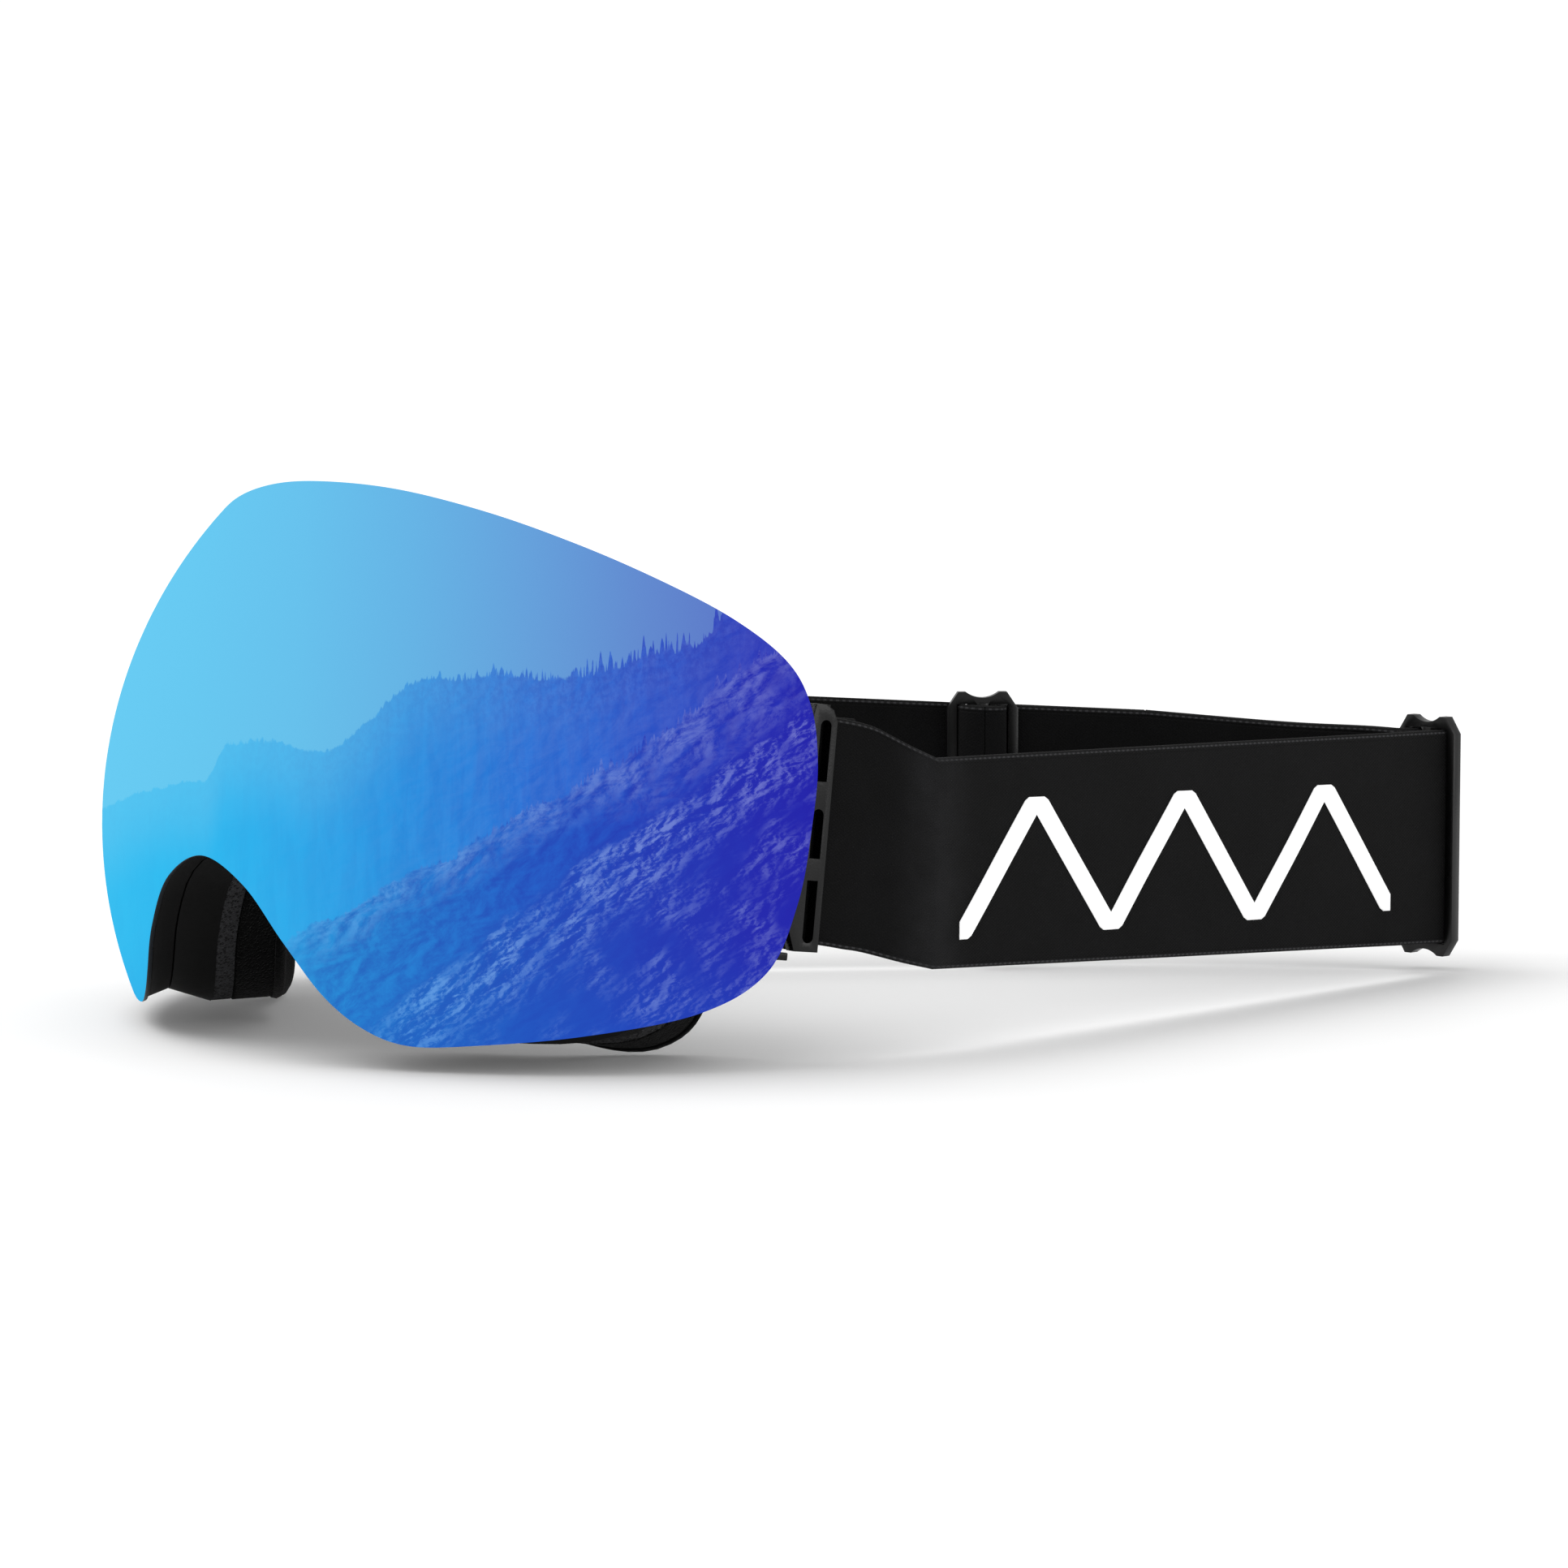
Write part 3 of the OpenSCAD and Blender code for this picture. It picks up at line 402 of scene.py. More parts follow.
def coating_and_painted_reflection():
    """Mirror coating, tinted from cyan at one side to violet, with a painted reflection of sky over
    wooded, snowy slopes; the lens also glows.
    """
    s = Shader("mirror_coating_painted_reflection")
    place = s.node(
        "ShaderNodeVectorMath",
        {0: s.object_place(), 1: SPHERE_CENTRE},
        operation="SUBTRACT",
    ).outputs[0]

    def along(direction):
        scaled = tuple(c / (LENS_RADIUS * MM) for c in direction)
        return s.node(
            "ShaderNodeVectorMath", {0: place, 1: scaled}, operation="DOT_PRODUCT"
        ).outputs["Value"]

    # past the side seen edge-on the picture runs on instead of folding back
    facing = along(PICTURE_RIGHT)
    behind = s.math("LESS_THAN", along(PICTURE_OUT), 0.0)
    folded_back = s.add(s.times(facing, -2.0), -2.0)
    u = s.add(facing, s.times(behind, folded_back))
    v = along(PICTURE_UP)
    flat = s.vector(u, v)
    share = s.times(s.add(u, 1.0), 1 / 1.6)
    sky = s.ramp(share, evenly(SKY))
    ground = s.ramp(share, evenly(GROUND))
    snow = s.ramp(share, evenly(SNOW))
    slope = math.radians(36)
    run = s.add(s.times(u, math.cos(slope)), s.times(v, math.sin(slope)))
    rise = s.add(s.times(v, math.cos(slope)), s.times(u, -math.sin(slope)))

    def wavy(line, size, scale):
        wave = s.add(s.noise(flat, scale, 6.0, 0.62), -0.5)
        return s.add(line, s.times(wave, size))

    def wooded(line, size):
        """A ridge line with conifers standing on it."""
        tallest = line
        for spacing, part in ((47.0, 1.0), (83.0, 0.75), (131.0, 0.55), (190.0, 0.4)):
            trees = s.node(
                "ShaderNodeTexVoronoi",
                {"W": u, "Scale": spacing, "Randomness": 1.0},
                voronoi_dimensions="1D",
            )
            cone = s.between(trees.outputs["Distance"], 0.34, 0.0)
            pick = s.node("ShaderNodeSeparateXYZ", {0: trees.outputs["Color"]}).outputs[0]
            height = s.times(s.times(cone, s.between(pick, 0.2, 0.95)), s.times(size, part))
            tallest = s.math("MAXIMUM", tallest, s.add(line, height))
        return tallest

    def under(line, softness):
        return s.between(s.add(line, s.times(v, -1.0)), -softness, softness)

    def relief(over_run, over_rise, contrast):
        """Light and shade of broken ground, lit from the upper left: 0 to 1."""
        here = s.vector(s.times(run, over_run), s.times(rise, over_rise))
        towards_light = s.node(
            "ShaderNodeVectorMath", {0: here, 1: (-0.1, 0.22, 0.0)}, operation="ADD"
        ).outputs[0]
        step = s.math(
            "SUBTRACT",
            s.noise(here, 1.0, 11.0, 0.7, 0.35),
            s.noise(towards_light, 1.0, 11.0, 0.7, 0.35),
        )
        return s.between(step, -contrast, contrast)

    # skyline: low at the left with a rounded hill, a long shoulder, a wooded rise
    skyline = s.between(u, -1.05, -0.8, 0.02, 0.083)
    for start, end, change in (
        (-0.745, -0.69, 0.085),
        (-0.62, -0.52, -0.022),
        (-0.5, -0.27, 0.142),
        (-0.02, 0.25, 0.055),
        (0.24, 0.34, 0.1),
    ):
        skyline = s.add(skyline, s.between(u, start, end, 0.0, change))
    skyline = wavy(wavy(skyline, 0.05, 8.0), 0.014, 60.0)
    is_ground = under(wooded(skyline, s.between(u, -0.55, 0.35, 0.006, 0.05)), 0.003)
    depth = s.add(skyline, s.times(v, -1.0))

    # far slope: cliffs with upright furrows, hazy at the left
    deep = s.mix(0.6, ground, srgb("#2319a2"))
    contrast = s.between(u, -0.9, 0.25, 0.1, 0.75)
    furrows = s.noise(s.vector(s.times(u, 34.0), s.times(v, 5.0)), 1.0, 7.0, 0.65, 0.3)
    furrows = s.between(furrows, 0.36, 0.64)
    broken = relief(11.0, 20.0, 0.2)
    far = s.mix(s.times(s.times(furrows, contrast), 0.5), ground, deep)
    far = s.mix(s.times(s.times(broken, contrast), 0.3), far, snow)
    grains = s.noise(s.vector(s.times(u, 90.0), s.times(v, 55.0)), 1.0, 4.0, 0.7)
    speckle = s.between(grains, 0.4, 0.62)
    speckle = s.times(speckle, s.between(depth, 0.16, 0.0))
    far = s.mix(s.times(s.times(speckle, contrast), 0.7), far, deep)
    far = s.mix(s.times(s.between(depth, 0.2, 0.0), s.between(u, 0.2, -0.8, 0.1, 0.5)), far, sky)

    # middle slope: a crest edged with snow, woods under it
    crest = wavy(wavy(s.add(s.times(u, 0.53), 0.065), 0.09, 6.0), 0.03, 26.0)
    crest = s.add(crest, s.between(u, 0.12, 0.36, 0.0, 0.05))
    crest_depth = s.add(crest, s.times(v, -1.0))
    seen_crest = s.between(u, -0.72, -0.45)
    middle = s.mix(s.times(relief(12.0, 20.0, 0.2), 0.6), deep, ground)
    patchy = s.between(s.noise(flat, 9.0, 4.0, 0.6), 0.35, 0.6, 0.3, 1.0)
    reach = s.between(u, 0.0, 0.4, 0.1, 0.3)
    edge = s.times(s.between(crest_depth, reach, 0.0), relief(13.0, 24.0, 0.13))
    middle = s.mix(s.times(s.times(edge, patchy), 0.8), middle, snow)
    woods = under(wooded(crest, s.between(u, -0.4, 0.2, 0.004, 0.03)), 0.004)
    slopes = s.mix(s.times(woods, seen_crest), far, middle)

    # near slope: a broad band of snow streaks, deep shade under it
    shelf = wavy(wavy(s.add(s.times(u, 0.72), -0.1), 0.12, 4.5), 0.04, 22.0)
    shelf_depth = s.add(shelf, s.times(v, -1.0))
    streaks = relief(8.0, 21.0, 0.17)
    fine = relief(24.0, 44.0, 0.16)
    band = s.times(s.between(shelf_depth, -0.01, 0.03), s.between(shelf_depth, 0.2, 0.11))
    band = s.times(band, s.between(u, -0.7, -0.3))
    scattered = s.times(s.noise(flat, 7.0, 3.0), s.between(shelf_depth, 0.1, 0.2))
    scattered = s.between(scattered, 0.42, 0.66, 0.0, 0.8)
    near = s.mix(s.times(s.between(shelf_depth, 0.02, 0.3), 0.55), ground, deep)
    near = s.mix(s.times(streaks, 0.35), deep, near)
    lit = s.between(s.add(s.times(streaks, 0.6), s.times(fine, 0.55)), 0.42, 0.95)
    patches = s.times(s.math("MAXIMUM", band, scattered), patchy)
    near = s.mix(s.times(s.times(lit, patches), 0.92), near, snow)
    slopes = s.mix(s.times(s.between(shelf_depth, -0.02, 0.02), seen_crest), slopes, near)
    slopes = s.mix(s.between(v, -0.2, -0.5, 0.0, 0.2), slopes, srgb("#1c6cd8"))

    colour = s.mix(is_ground, sky, slopes)
    # painted light: the base colour is dimmed nearly to black and the picture glows instead, for
    # camera rays only
    dimmed = s.mix(0.9, colour, (0.0, 0.0, 0.0, 1.0))
    to_camera = s.node("ShaderNodeLightPath").outputs["Is Camera Ray"]
    return s.finish(
        Base_Color=dimmed,
        Roughness=0.25,
        Specular_IOR_Level=0.0,
        Emission_Color=colour,
        Emission_Strength=s.times(to_camera, 0.9),
    )


def clear_plastic(name, colour, clearness):
    s = Shader(name)
    surface = s.node(
        "ShaderNodeBsdfPrincipled",
        {"Base Color": srgb(colour), "Roughness": 0.05, "Specular IOR Level": 0.5},
    )
    through = s.node("ShaderNodeBsdfTransparent", {"Color": (0.85, 0.88, 0.9, 1)})
    mixed = s.node(
        "ShaderNodeMixShader",
        {0: clearness, 1: surface.outputs[0], 2: through.outputs[0]},
    )
    s.node("ShaderNodeOutputMaterial", {"Surface": mixed.outputs[0]})
    return s.material


# the mirror coating's tint with a painted reflection of a landscape, and a painted glow
LENS_COATING_AND_REFLECTION = coating_and_painted_reflection()
LENS_INSIDE = plastic("lens_inside", "#0a1826", 0.12, 0.0, 0.5)
LENS_EDGE = plastic("lens_edge", "#071018", 0.3, 0.0, specular=0.2)
FRAME_BLACK = plastic("frame_black", "#030303", 0.5, specular=0.12)
CARRIER_BLACK = plastic("carrier_black", "#020202", 0.5, specular=0.12)
OUTRIGGER_BLACK = plastic("outrigger_black", "#020202", 0.26, 0.03, specular=0.26)
SLIDER_BLACK = plastic("slider_black", "#010101", 0.3, 0.01, specular=0.4)
GASKET = plastic("gasket_rubber", "#0c0c0c", 0.8, specular=0.2)
STEEL = metal("pin_steel", "#9a9a9d", 0.32)
MAGNET = metal("magnet_nickel", "#c8c8cc", 0.25)
WEBBING = webbing("strap_webbing", "#010101", "#0e0e0f")
WHITE_PRINT = printed("white_print", "#ffffff")
VENT_FOAM = foam("vent_foam", "#030303", "#111112", 0.8, 0.4)
SUPPORT_FOAM = foam("support_foam", "#161617", "#3a3a3c", 0.7, 0.5)
COMFORT_FOAM = foam("comfort_foam", "#010101", "#060606", 0.6, 0.25)
FLEECE = fleece("fleece", "#020202", "#0d0d0e")
INNER_LENS = clear_plastic("inner_lens_clear", "#20282c", 0.75)

# ---------------------------------------------------------------- CAD nodes


def dress(node, material, bevel=0.0):
    """Gives a CAD node its material, soft shading and small rounded edges."""
    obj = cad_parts[node]
    obj.data.materials.clear()
    obj.data.materials.append(material)
    obj.data.polygons.foreach_set("use_smooth", [True] * len(obj.data.polygons))
    weld = obj.modifiers.new("weld", "WELD")
    weld.merge_threshold = 1e-6
    if bevel:
        edge = obj.modifiers.new("bevel", "BEVEL")
        edge.width = bevel * MM
        edge.segments = 2
        edge.limit_method = "ANGLE"
        edge.angle_limit = math.radians(40)
        edge.harden_normals = False
    flat = obj.modifiers.new("split", "EDGE_SPLIT")
    flat.split_angle = math.radians(38)
    return obj


FINISHES = {
    "lens_carrier": (CARRIER_BLACK, 0.12),
    "lens_gasket": (GASKET, 0.0),
    "inner_lens": (INNER_LENS, 0.0),
    "lens_magnets": (MAGNET, 0.0),
    "frame": (FRAME_BLACK, 0.0),
    "frame_magnets": (MAGNET, 0.0),
    "top_vent_foam": (VENT_FOAM, 0.0),
    "bottom_vent_foam": (VENT_FOAM, 0.0),
    "foam_support_layer": (SUPPORT_FOAM, 0.0),
    "hinge_bracket_right": (FRAME_BLACK, 0.2),
    "hinge_bracket_left": (FRAME_BLACK, 0.2),
    "outrigger_right": (OUTRIGGER_BLACK, 0.25),
    "outrigger_left": (OUTRIGGER_BLACK, 0.25),
    "outrigger_pin_right": (STEEL, 0.15),
    "outrigger_pin_left": (STEEL, 0.15),
    "latch_pin_right": (STEEL, 0.1),
    "latch_pin_left": (STEEL, 0.1),
    "lens_latch_right": (OUTRIGGER_BLACK, 0.2),
    "lens_latch_left": (OUTRIGGER_BLACK, 0.2),
    "slider_right": (SLIDER_BLACK, 0.3),
    "slider_left": (SLIDER_BLACK, 0.3),
}
for node_name, (finish, bevel_width) in FINISHES.items():
    dress(node_name, finish, bevel_width)

# ---------------------------------------------------------------- lens

UPPER_EDGE = [
    (0, 60.6),
    (16, 59.8),
    (32, 56.8),
    (46, 52.3),
    (58, 46.9),
    (67.5, 41.2),
    (74.2, 34.6),
    (77, 27),
]
LOWER_EDGE = [
    (77.6, 16.5),
    (77, 5),
    (76.1, -9),
    (73.6, -21.8),
    (66, -30),
    (52, -35.8),
    (38, -39.4),
    (29.3, -40.6),
    (23.2, -38.3),
    (18, -33.1),
    (12.9, -24.3),
    (7.2, -14.8),
    (0, -10.2),
]


def edge_loop(steps):
    """Lens edge as (angle, height), from the top round the right and the nose."""
    points = np.array(UPPER_EDGE + LOWER_EDGE, float)
    before = (-points[1][0], points[1][1])
    after = (-points[-2][0], points[-2][1])
    half = smooth_curve(points, before, after, steps)
    other = half[1:-1][::-1] * (-1, 1)
    return np.vstack([half, other])


def edge_rays(loop):
    angle = np.radians(loop[:, 0])
    height = loop[:, 1] / LENS_RADIUS
    level = np.sqrt(1 - height**2)
    return np.stack([level * np.sin(angle), -level * np.cos(angle), height], 1)


def inward(rays):
    ahead = np.roll(rays, -1, 0) - np.roll(rays, 1, 0)
    return unit(np.cross(ahead, rays))


def build_lens():
    rays = edge_rays(edge_loop(12))
    inner = inward(rays)
    centre = unit(np.array([0.0, -LENS_RADIUS, 24.0]))

    def inset(distance):
        turn = distance / LENS_RADIUS
        return math.cos(turn) * rays + math.sin(turn) * inner

    rim = inset(0.6)
    rows = []
    steps = 48
    for k in range(1, steps + 1):
        rows.append(LENS_RADIUS * unit(centre + (rim - centre) * (k / steps)))
    profile = [(0.3, 0.03), (0.1, 0.15), (0, 0.35), (0, 0.85), (0.1, 1.05), (0.3, 1.17)]
    for distance, depth in profile:
        rows.append((LENS_RADIUS - depth) * inset(distance))
    for k in range(steps, 0, -1):
        rows.append((LENS_RADIUS - LENS_THICKNESS) * unit(centre + (rim - centre) * (k / steps)))
    count = len(rays)
    vertices = [LENS_RADIUS * centre]
    vertices += list(np.concatenate(rows))
    vertices.append((LENS_RADIUS - LENS_THICKNESS) * centre)
    faces = []
    for i in range(len(rows) - 1):
        for j in range(count):
            a = 1 + i * count + j
            b = 1 + i * count + (j + 1) % count
            faces.append((a, b, b + count, a + count))
    last = 1 + (len(rows) - 1) * count
    for j in range(count):
        faces.append((0, 1 + (j + 1) % count, 1 + j))
        faces.append((len(vertices) - 1, last + j, last + (j + 1) % count))
    obj = mesh_object(
        "lens_mirrored", to_row(lean_back(np.array(vertices))), faces, LENS_COATING_AND_REFLECTION
    )
    recalculate(obj)
    obj.data.materials.append(LENS_INSIDE)
    obj.data.materials.append(LENS_EDGE)
    origin = np.array(SPHERE_CENTRE)
    for face in obj.data.polygons:
        outward = np.dot(np.array(face.normal), unit(np.array(face.center) - origin))
        if outward < -0.5:
            face.material_index = 1
        elif outward < 0.8:
            face.material_index = 2
    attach(obj, "lens")
    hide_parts("outer_lens")
    return obj


build_lens()

# ---------------------------------------------------------------- face foam

FRAME_DEPTH = 9.0
SEAT_RADIUS = 83.75
COMFORT_FRONT = 13.2
COMFORT_DEPTH = 10.0
FLEECE_DEPTH = 1.3
FOAM_IN = 10.1
# how far the frame's edge stays inside the lens's at the temple, and how much the
# lower corner drops and moves back out
TEMPLE_SETBACK = 11.5
TEMPLE_ANGLE = 77.6
CORNER_DROP = 4.0
CORNER_OUT = 0.32


def frame_edge(steps):
    loop = edge_loop(steps)
    angle = np.abs(loop[:, 0])
    low = loop[:, 1].copy()
    loop[:, 1] -= CORNER_DROP * ramp(35, 62, angle) * ramp(4, 24, -loop[:, 1])
    setback = TEMPLE_SETBACK * (1 - CORNER_OUT * ramp(22, 34, -low))
    loop[:, 0] -= np.sign(loop[:, 0]) * setback * ramp(35, TEMPLE_ANGLE, angle)
    return loop


def ring_points(rays, inner, distance, depth):
    """Points a distance in from the frame's edge and a depth behind the lens seat."""
    turn = distance / LENS_RADIUS
    surface = SEAT_RADIUS * (math.cos(turn) * rays + math.sin(turn) * inner)
    back = unit(np.stack([-0.55 * rays[:, 0], np.ones(len(rays)), 0 * rays[:, 0]], 1))
    brow = -0.2 * np.maximum(0, rays[:, 2]) * depth
    corner = ramp(0.52, 0.76, np.abs(rays[:, 0]))
    slope = 0.12 - 0.29 * corner
    cheek = -0.22 * min(depth, FRAME_DEPTH) + slope * max(0, depth - FRAME_DEPTH)
    drop = brow + cheek * ramp(0.1, 0.35, -rays[:, 2])
    shift = depth * back
    shift[:, 2] += drop
    return surface + shift


def rounded_section(low, high, front, back, corner, steps):
    """Section of a foam ring: square at the front, rounded at the back."""
    points = []
    for k in range(steps):
        points.append((low, front + (back - corner - front) * k / steps))
    for k in range(7):
        a = math.pi / 2 * k / 6
        points.append(
            (low + corner * (1 - math.cos(a)), back - corner * (1 - math.sin(a)))
        )
    for k in range(1, 5):
        points.append((low + corner + (high - low - 2 * corner) * k / 5, back))
    for k in range(7):
        a = math.pi / 2 * (1 - k / 6)
        points.append(
            (high - corner * (1 - math.cos(a)), back - corner * (1 - math.sin(a)))
        )
    for k in range(1, steps + 1):
        points.append((high, back - corner + (front - back + corner) * k / steps))
    for k in range(1, 5):
        points.append((high + (low - high) * k / 5, front))
    return points


def build_ring(name, section, material, steps=5):
    rays = edge_rays(frame_edge(steps))
    inner = inward(rays)
    rows = [ring_points(rays, inner, a, b) for a, b in section]
    grid = np.stack(rows, 1)
    vertices = to_row(lean_back(grid.reshape(-1, 3)))
    faces = grid_faces(len(rays), len(section), True, True)
    obj = mesh_object(name, vertices, faces, material)
    recalculate(obj)
    return obj


def settle_cloth(obj, held, frames, pressure):
    """Lets the foam's cover puff out as cloth, then keeps the settled shape."""
    group = obj.vertex_groups.new(name="held")
    for index, weight in held:
        group.add([index], weight, "REPLACE")
    cloth = obj.modifiers.new("cloth", "CLOTH")
    settings = cloth.settings
    settings.quality = 6
    settings.mass = 0.08
    settings.tension_stiffness = 12
    settings.compression_stiffness = 8
    settings.shear_stiffness = 6
    settings.bending_stiffness = 2.0
    settings.air_damping = 4
    settings.use_pressure = True
    settings.uniform_pressure_force = pressure
    settings.vertex_group_mass = "held"
    settings.pin_stiffness = 4
    settings.effector_weights.gravity = 0.05
    cloth.collision_settings.use_collision = False
    cloth.point_cache.frame_start = 1
    cloth.point_cache.frame_end = frames
    scene = bpy.context.scene
    for number in range(1, frames + 1):
        scene.frame_set(number)
    shape = obj.evaluated_get(bpy.context.evaluated_depsgraph_get())
    settled = np.array([v.co for v in shape.data.vertices])
    obj.modifiers.remove(cloth)
    scene.frame_set(1)
    rest = np.array([v.co for v in obj.data.vertices])
    move = settled - rest
    length = np.linalg.norm(move, axis=1, keepdims=True)
    limit = 0.9 * MM
    move *= np.minimum(1, limit / np.maximum(length, 1e-9))
    obj.data.vertices.foreach_set("co", (rest + move).astype(np.float32).ravel())
    obj.data.update()


def build_face_foam():
    back = COMFORT_FRONT + COMFORT_DEPTH
    section = rounded_section(0.3, FOAM_IN, COMFORT_FRONT, back, 2.6, 7)
    foam_ring = build_ring("comfort_foam_soft", section, COMFORT_FOAM)
    fleece_section = [(a, b) for a, b in section if b > back - 2.0]
    count = len(section)
    held = []
    for index in range(len(foam_ring.data.vertices)):
        depth = section[index % count][1]
        share = (depth - COMFORT_FRONT) / COMFORT_DEPTH
        weight = max(0.12, 1 - 2.2 * share)
        held.append((index, min(1.0, weight)))
    settle_cloth(foam_ring, held, 14, 1.6)
    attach(foam_ring, "frame")
    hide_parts("foam_comfort_layer")
    build_fleece(foam_ring, section, fleece_section)


def build_fleece(foam_ring, section, covered):
    """Fleece bonded over the back of the foam, following its settled shape."""
    count = len(section)
    keep = [i for i, point in enumerate(section) if point in covered]
    place = np.array([v.co for v in foam_ring.data.vertices]).reshape(-1, count, 3)
    normal = np.array([v.normal for v in foam_ring.data.vertices]).reshape(-1, count, 3)
    rounds = len(place)
    rim = np.minimum(np.arange(len(keep)), np.arange(len(keep))[::-1])
    height = 0.15 + (FLEECE_DEPTH - 0.15) * ramp(-0.6, 2.0, rim)
    low = place[:, keep] + normal[:, keep] * 0.05 * MM
    high = place[:, keep] + normal[:, keep] * (height * MM)[None, :, None]
    grid = np.concatenate([low, high[:, ::-1]], 1)
    faces = grid_faces(rounds, 2 * len(keep), True, True)
    obj = mesh_object("fleece_soft", grid.reshape(-1, 3), faces, FLEECE)
    recalculate(obj)
    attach(obj, "frame")
    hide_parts("fleece_lining")


build_face_foam()

# ---------------------------------------------------------------- strap

PIN = (79.6, -26.5)
PLATE_ANGLE = 11.6
BAR_ALONG = 12.2
BAR_IN = 4.6
BAR_RADIUS = 1.3
STRAP_THICK = 1.5
STRAP_FRONT_HEIGHT = 4.5
SEWN_WIDTH = 41.2
STRAP_WIDTH = 43.8
LEG = 9.5
LEG_OUT = BAR_RADIUS + 0.12 + STRAP_THICK / 2
LEG_DROP = 0.6
RIGHT_TURN = -3
LEFT_TURN = 50
FRONT_LEAN = math.tan(LEAN)
REAR = (78.0, 165.0, -8.8)
SEWN_RADIUS = 1.7 + 0.12 + STRAP_THICK / 2
LAYER = STRAP_THICK + 0.12
WOUND_RADIUS = SEWN_RADIUS + LAYER
SLIDER = (14.0, 100.0, -4.0)
SLIDER_HEADING = 51.2
SLIDER_DROP = STRAP_THICK / 2 + 1.3
SLACK = 34.0
EDGE_AT = 21.0


def leg_place(turn, along, out, left):
    """Standing place [x, y, z] of a point of the sewn end, by its strap direction."""
    plate = math.radians(90 - PLATE_ANGLE)
    heading = math.radians(90 - PLATE_ANGLE + turn)
    x = PIN[0] + BAR_ALONG * math.cos(plate) - BAR_IN * math.sin(plate)
    y = PIN[1] + BAR_ALONG * math.sin(plate) + BAR_IN * math.cos(plate)
    x += along * math.cos(heading) - out * math.sin(heading)
    y += along * math.sin(heading) + out * math.cos(heading)
    place = lean_back(np.array([x, y, STRAP_FRONT_HEIGHT]))
    if left:
        place[0] = -place[0]
    return list(place)


def loop_stations(turn, left):
    """Sewn end: back from the seam on the inside, round the bar, out to the leg."""
    stations = []
    for along, out in ((8.9, -0.65), (6.6, -0.63), (5.0, -0.2), (3.2, 0.95), (1.6, 1.9)):
        stations.append(leg_place(turn, along, out, left) + [FRONT_LEAN, SEWN_WIDTH])
    for angle in range(90, 271, 15):
        a = math.radians(angle)
        point = leg_place(turn, LEG_OUT * math.cos(a), LEG_OUT * math.sin(a), left)
        stations.append(point + [FRONT_LEAN, SEWN_WIDTH])
    for along in (2.0, 4.5, 7.0, LEG):
        point = leg_place(turn, along, -LEG_OUT, left)
        point[2] -= LEG_DROP * (along / LEG) ** 2
        stations.append(point + [FRONT_LEAN, SEWN_WIDTH])
    return np.array(stations)


def beside_slider(along, out, width=STRAP_WIDTH):
    heading = math.radians(SLIDER_HEADING)
    return [
        SLIDER[0] + along * math.cos(heading) + out * math.sin(heading),
        SLIDER[1] + along * math.sin(heading) - out * math.cos(heading),
        SLIDER[2] - along * 0.05,
        0.0,
        width,
    ]


def shifted(stations, out):
    """Stations moved sideways, towards the right-hand side of their direction."""
    s = np.array(stations, float)
    d = np.gradient(s[:, :2], axis=0)
    d = unit(d)
    s[:, 0] += out * d[:, 1]
    s[:, 1] -= out * d[:, 0]
    return s


def side_of(stations):
    d = unit(np.gradient(stations[:, :2], axis=0))
    return np.stack([d[:, 1], -d[:, 0], 0 * d[:, 0]], 1)


def strap_section():
    """Section of the webbing as (share of the half width, millimetres from its
    middle): firm, slightly thicker edges."""
    edge = [(1.0, 0.0), (0.9965, 0.42), (0.985, 0.68), (0.965, 0.76), (0.945, 0.72)]
    middle = [(w, 0.72) for w in np.linspace(0.9, -0.9, 25)]
    face = edge + middle + [(-w, t) for w, t in edge[::-1]]
    back = [(-w, -t) for w, t in face[1:-1]]
    return np.array(face + back)


def ripple(place, amount):
    """Soft unevenness of the cloth, the same at each run."""
    x, y = place
    wave = np.sin(x / 17.0 + 0.8 * np.sin(y / 13.0)) * np.sin(y / 11.0 + 1.3)
    fine = np.sin(x / 5.3 + 2.1 + np.sin(y / 7.0))
    return amount * (wave + 0.3 * fine)


def build_strap(name, stations, start=0.0, sag=0.0, end=None):
    """A closed band of webbing along stations [x, y, middle height, lean, width].
    Its weave runs on from start, or up to end."""
    s = np.array(stations, float)
    section = strap_section()
    side = side_of(s)
    run = np.concatenate(
        [[0], np.cumsum(np.linalg.norm(np.diff(s[:, :2], axis=0), axis=1))]
    )
    if end is not None:
        start = end - run[-1]
    vertices, uv = [], []
    for k, station in enumerate(s):
        half = station[4] / 2
        up = section[:, 0] * half
        out = section[:, 1] + ripple((start + run[k], up), sag * float(ramp(2, 10, run[k])))
        row = np.zeros((len(section), 3))
        row[:, 0] = station[0]
        row[:, 1] = station[1] + up * station[3]
        row[:, 2] = station[2] + up
        row += out[:, None] * side[k]
        vertices.append(row)
        share = section[:, 0] * EDGE_AT
        uv.append(np.stack([np.full(len(section), start + run[k]), share], 1))
    count = len(section)
    faces = grid_faces(len(s), count, False, True)
    faces.append(tuple(range(count)))
    faces.append(tuple(range((len(s) - 1) * count, len(s) * count))[::-1])
    obj = mesh_object(name, to_row(np.concatenate(vertices)), faces, WEBBING)
    layer = obj.data.uv_layers.new(name="cloth")
    flat = np.concatenate(uv)
    for edge in obj.data.edges:
        a, b = (v // count for v in edge.vertices)
        edge.use_edge_sharp = a == b and a in (0, len(s) - 1)
    corners = np.zeros(len(obj.data.loops), np.int32)
    obj.data.loops.foreach_get("vertex_index", corners)
    layer.data.foreach_set("uv", flat[corners].ravel())
    recalculate(obj)
    return obj


def level_blend(piece, start, end):
    """Works out a level line from start to end, but uses it for nothing: it only bakes the piece's
    transform into its mesh."""
    a, b = (to_row(np.array(place[:3], float)) for place in (start, end))
    b[2] = a[2]
    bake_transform(piece)


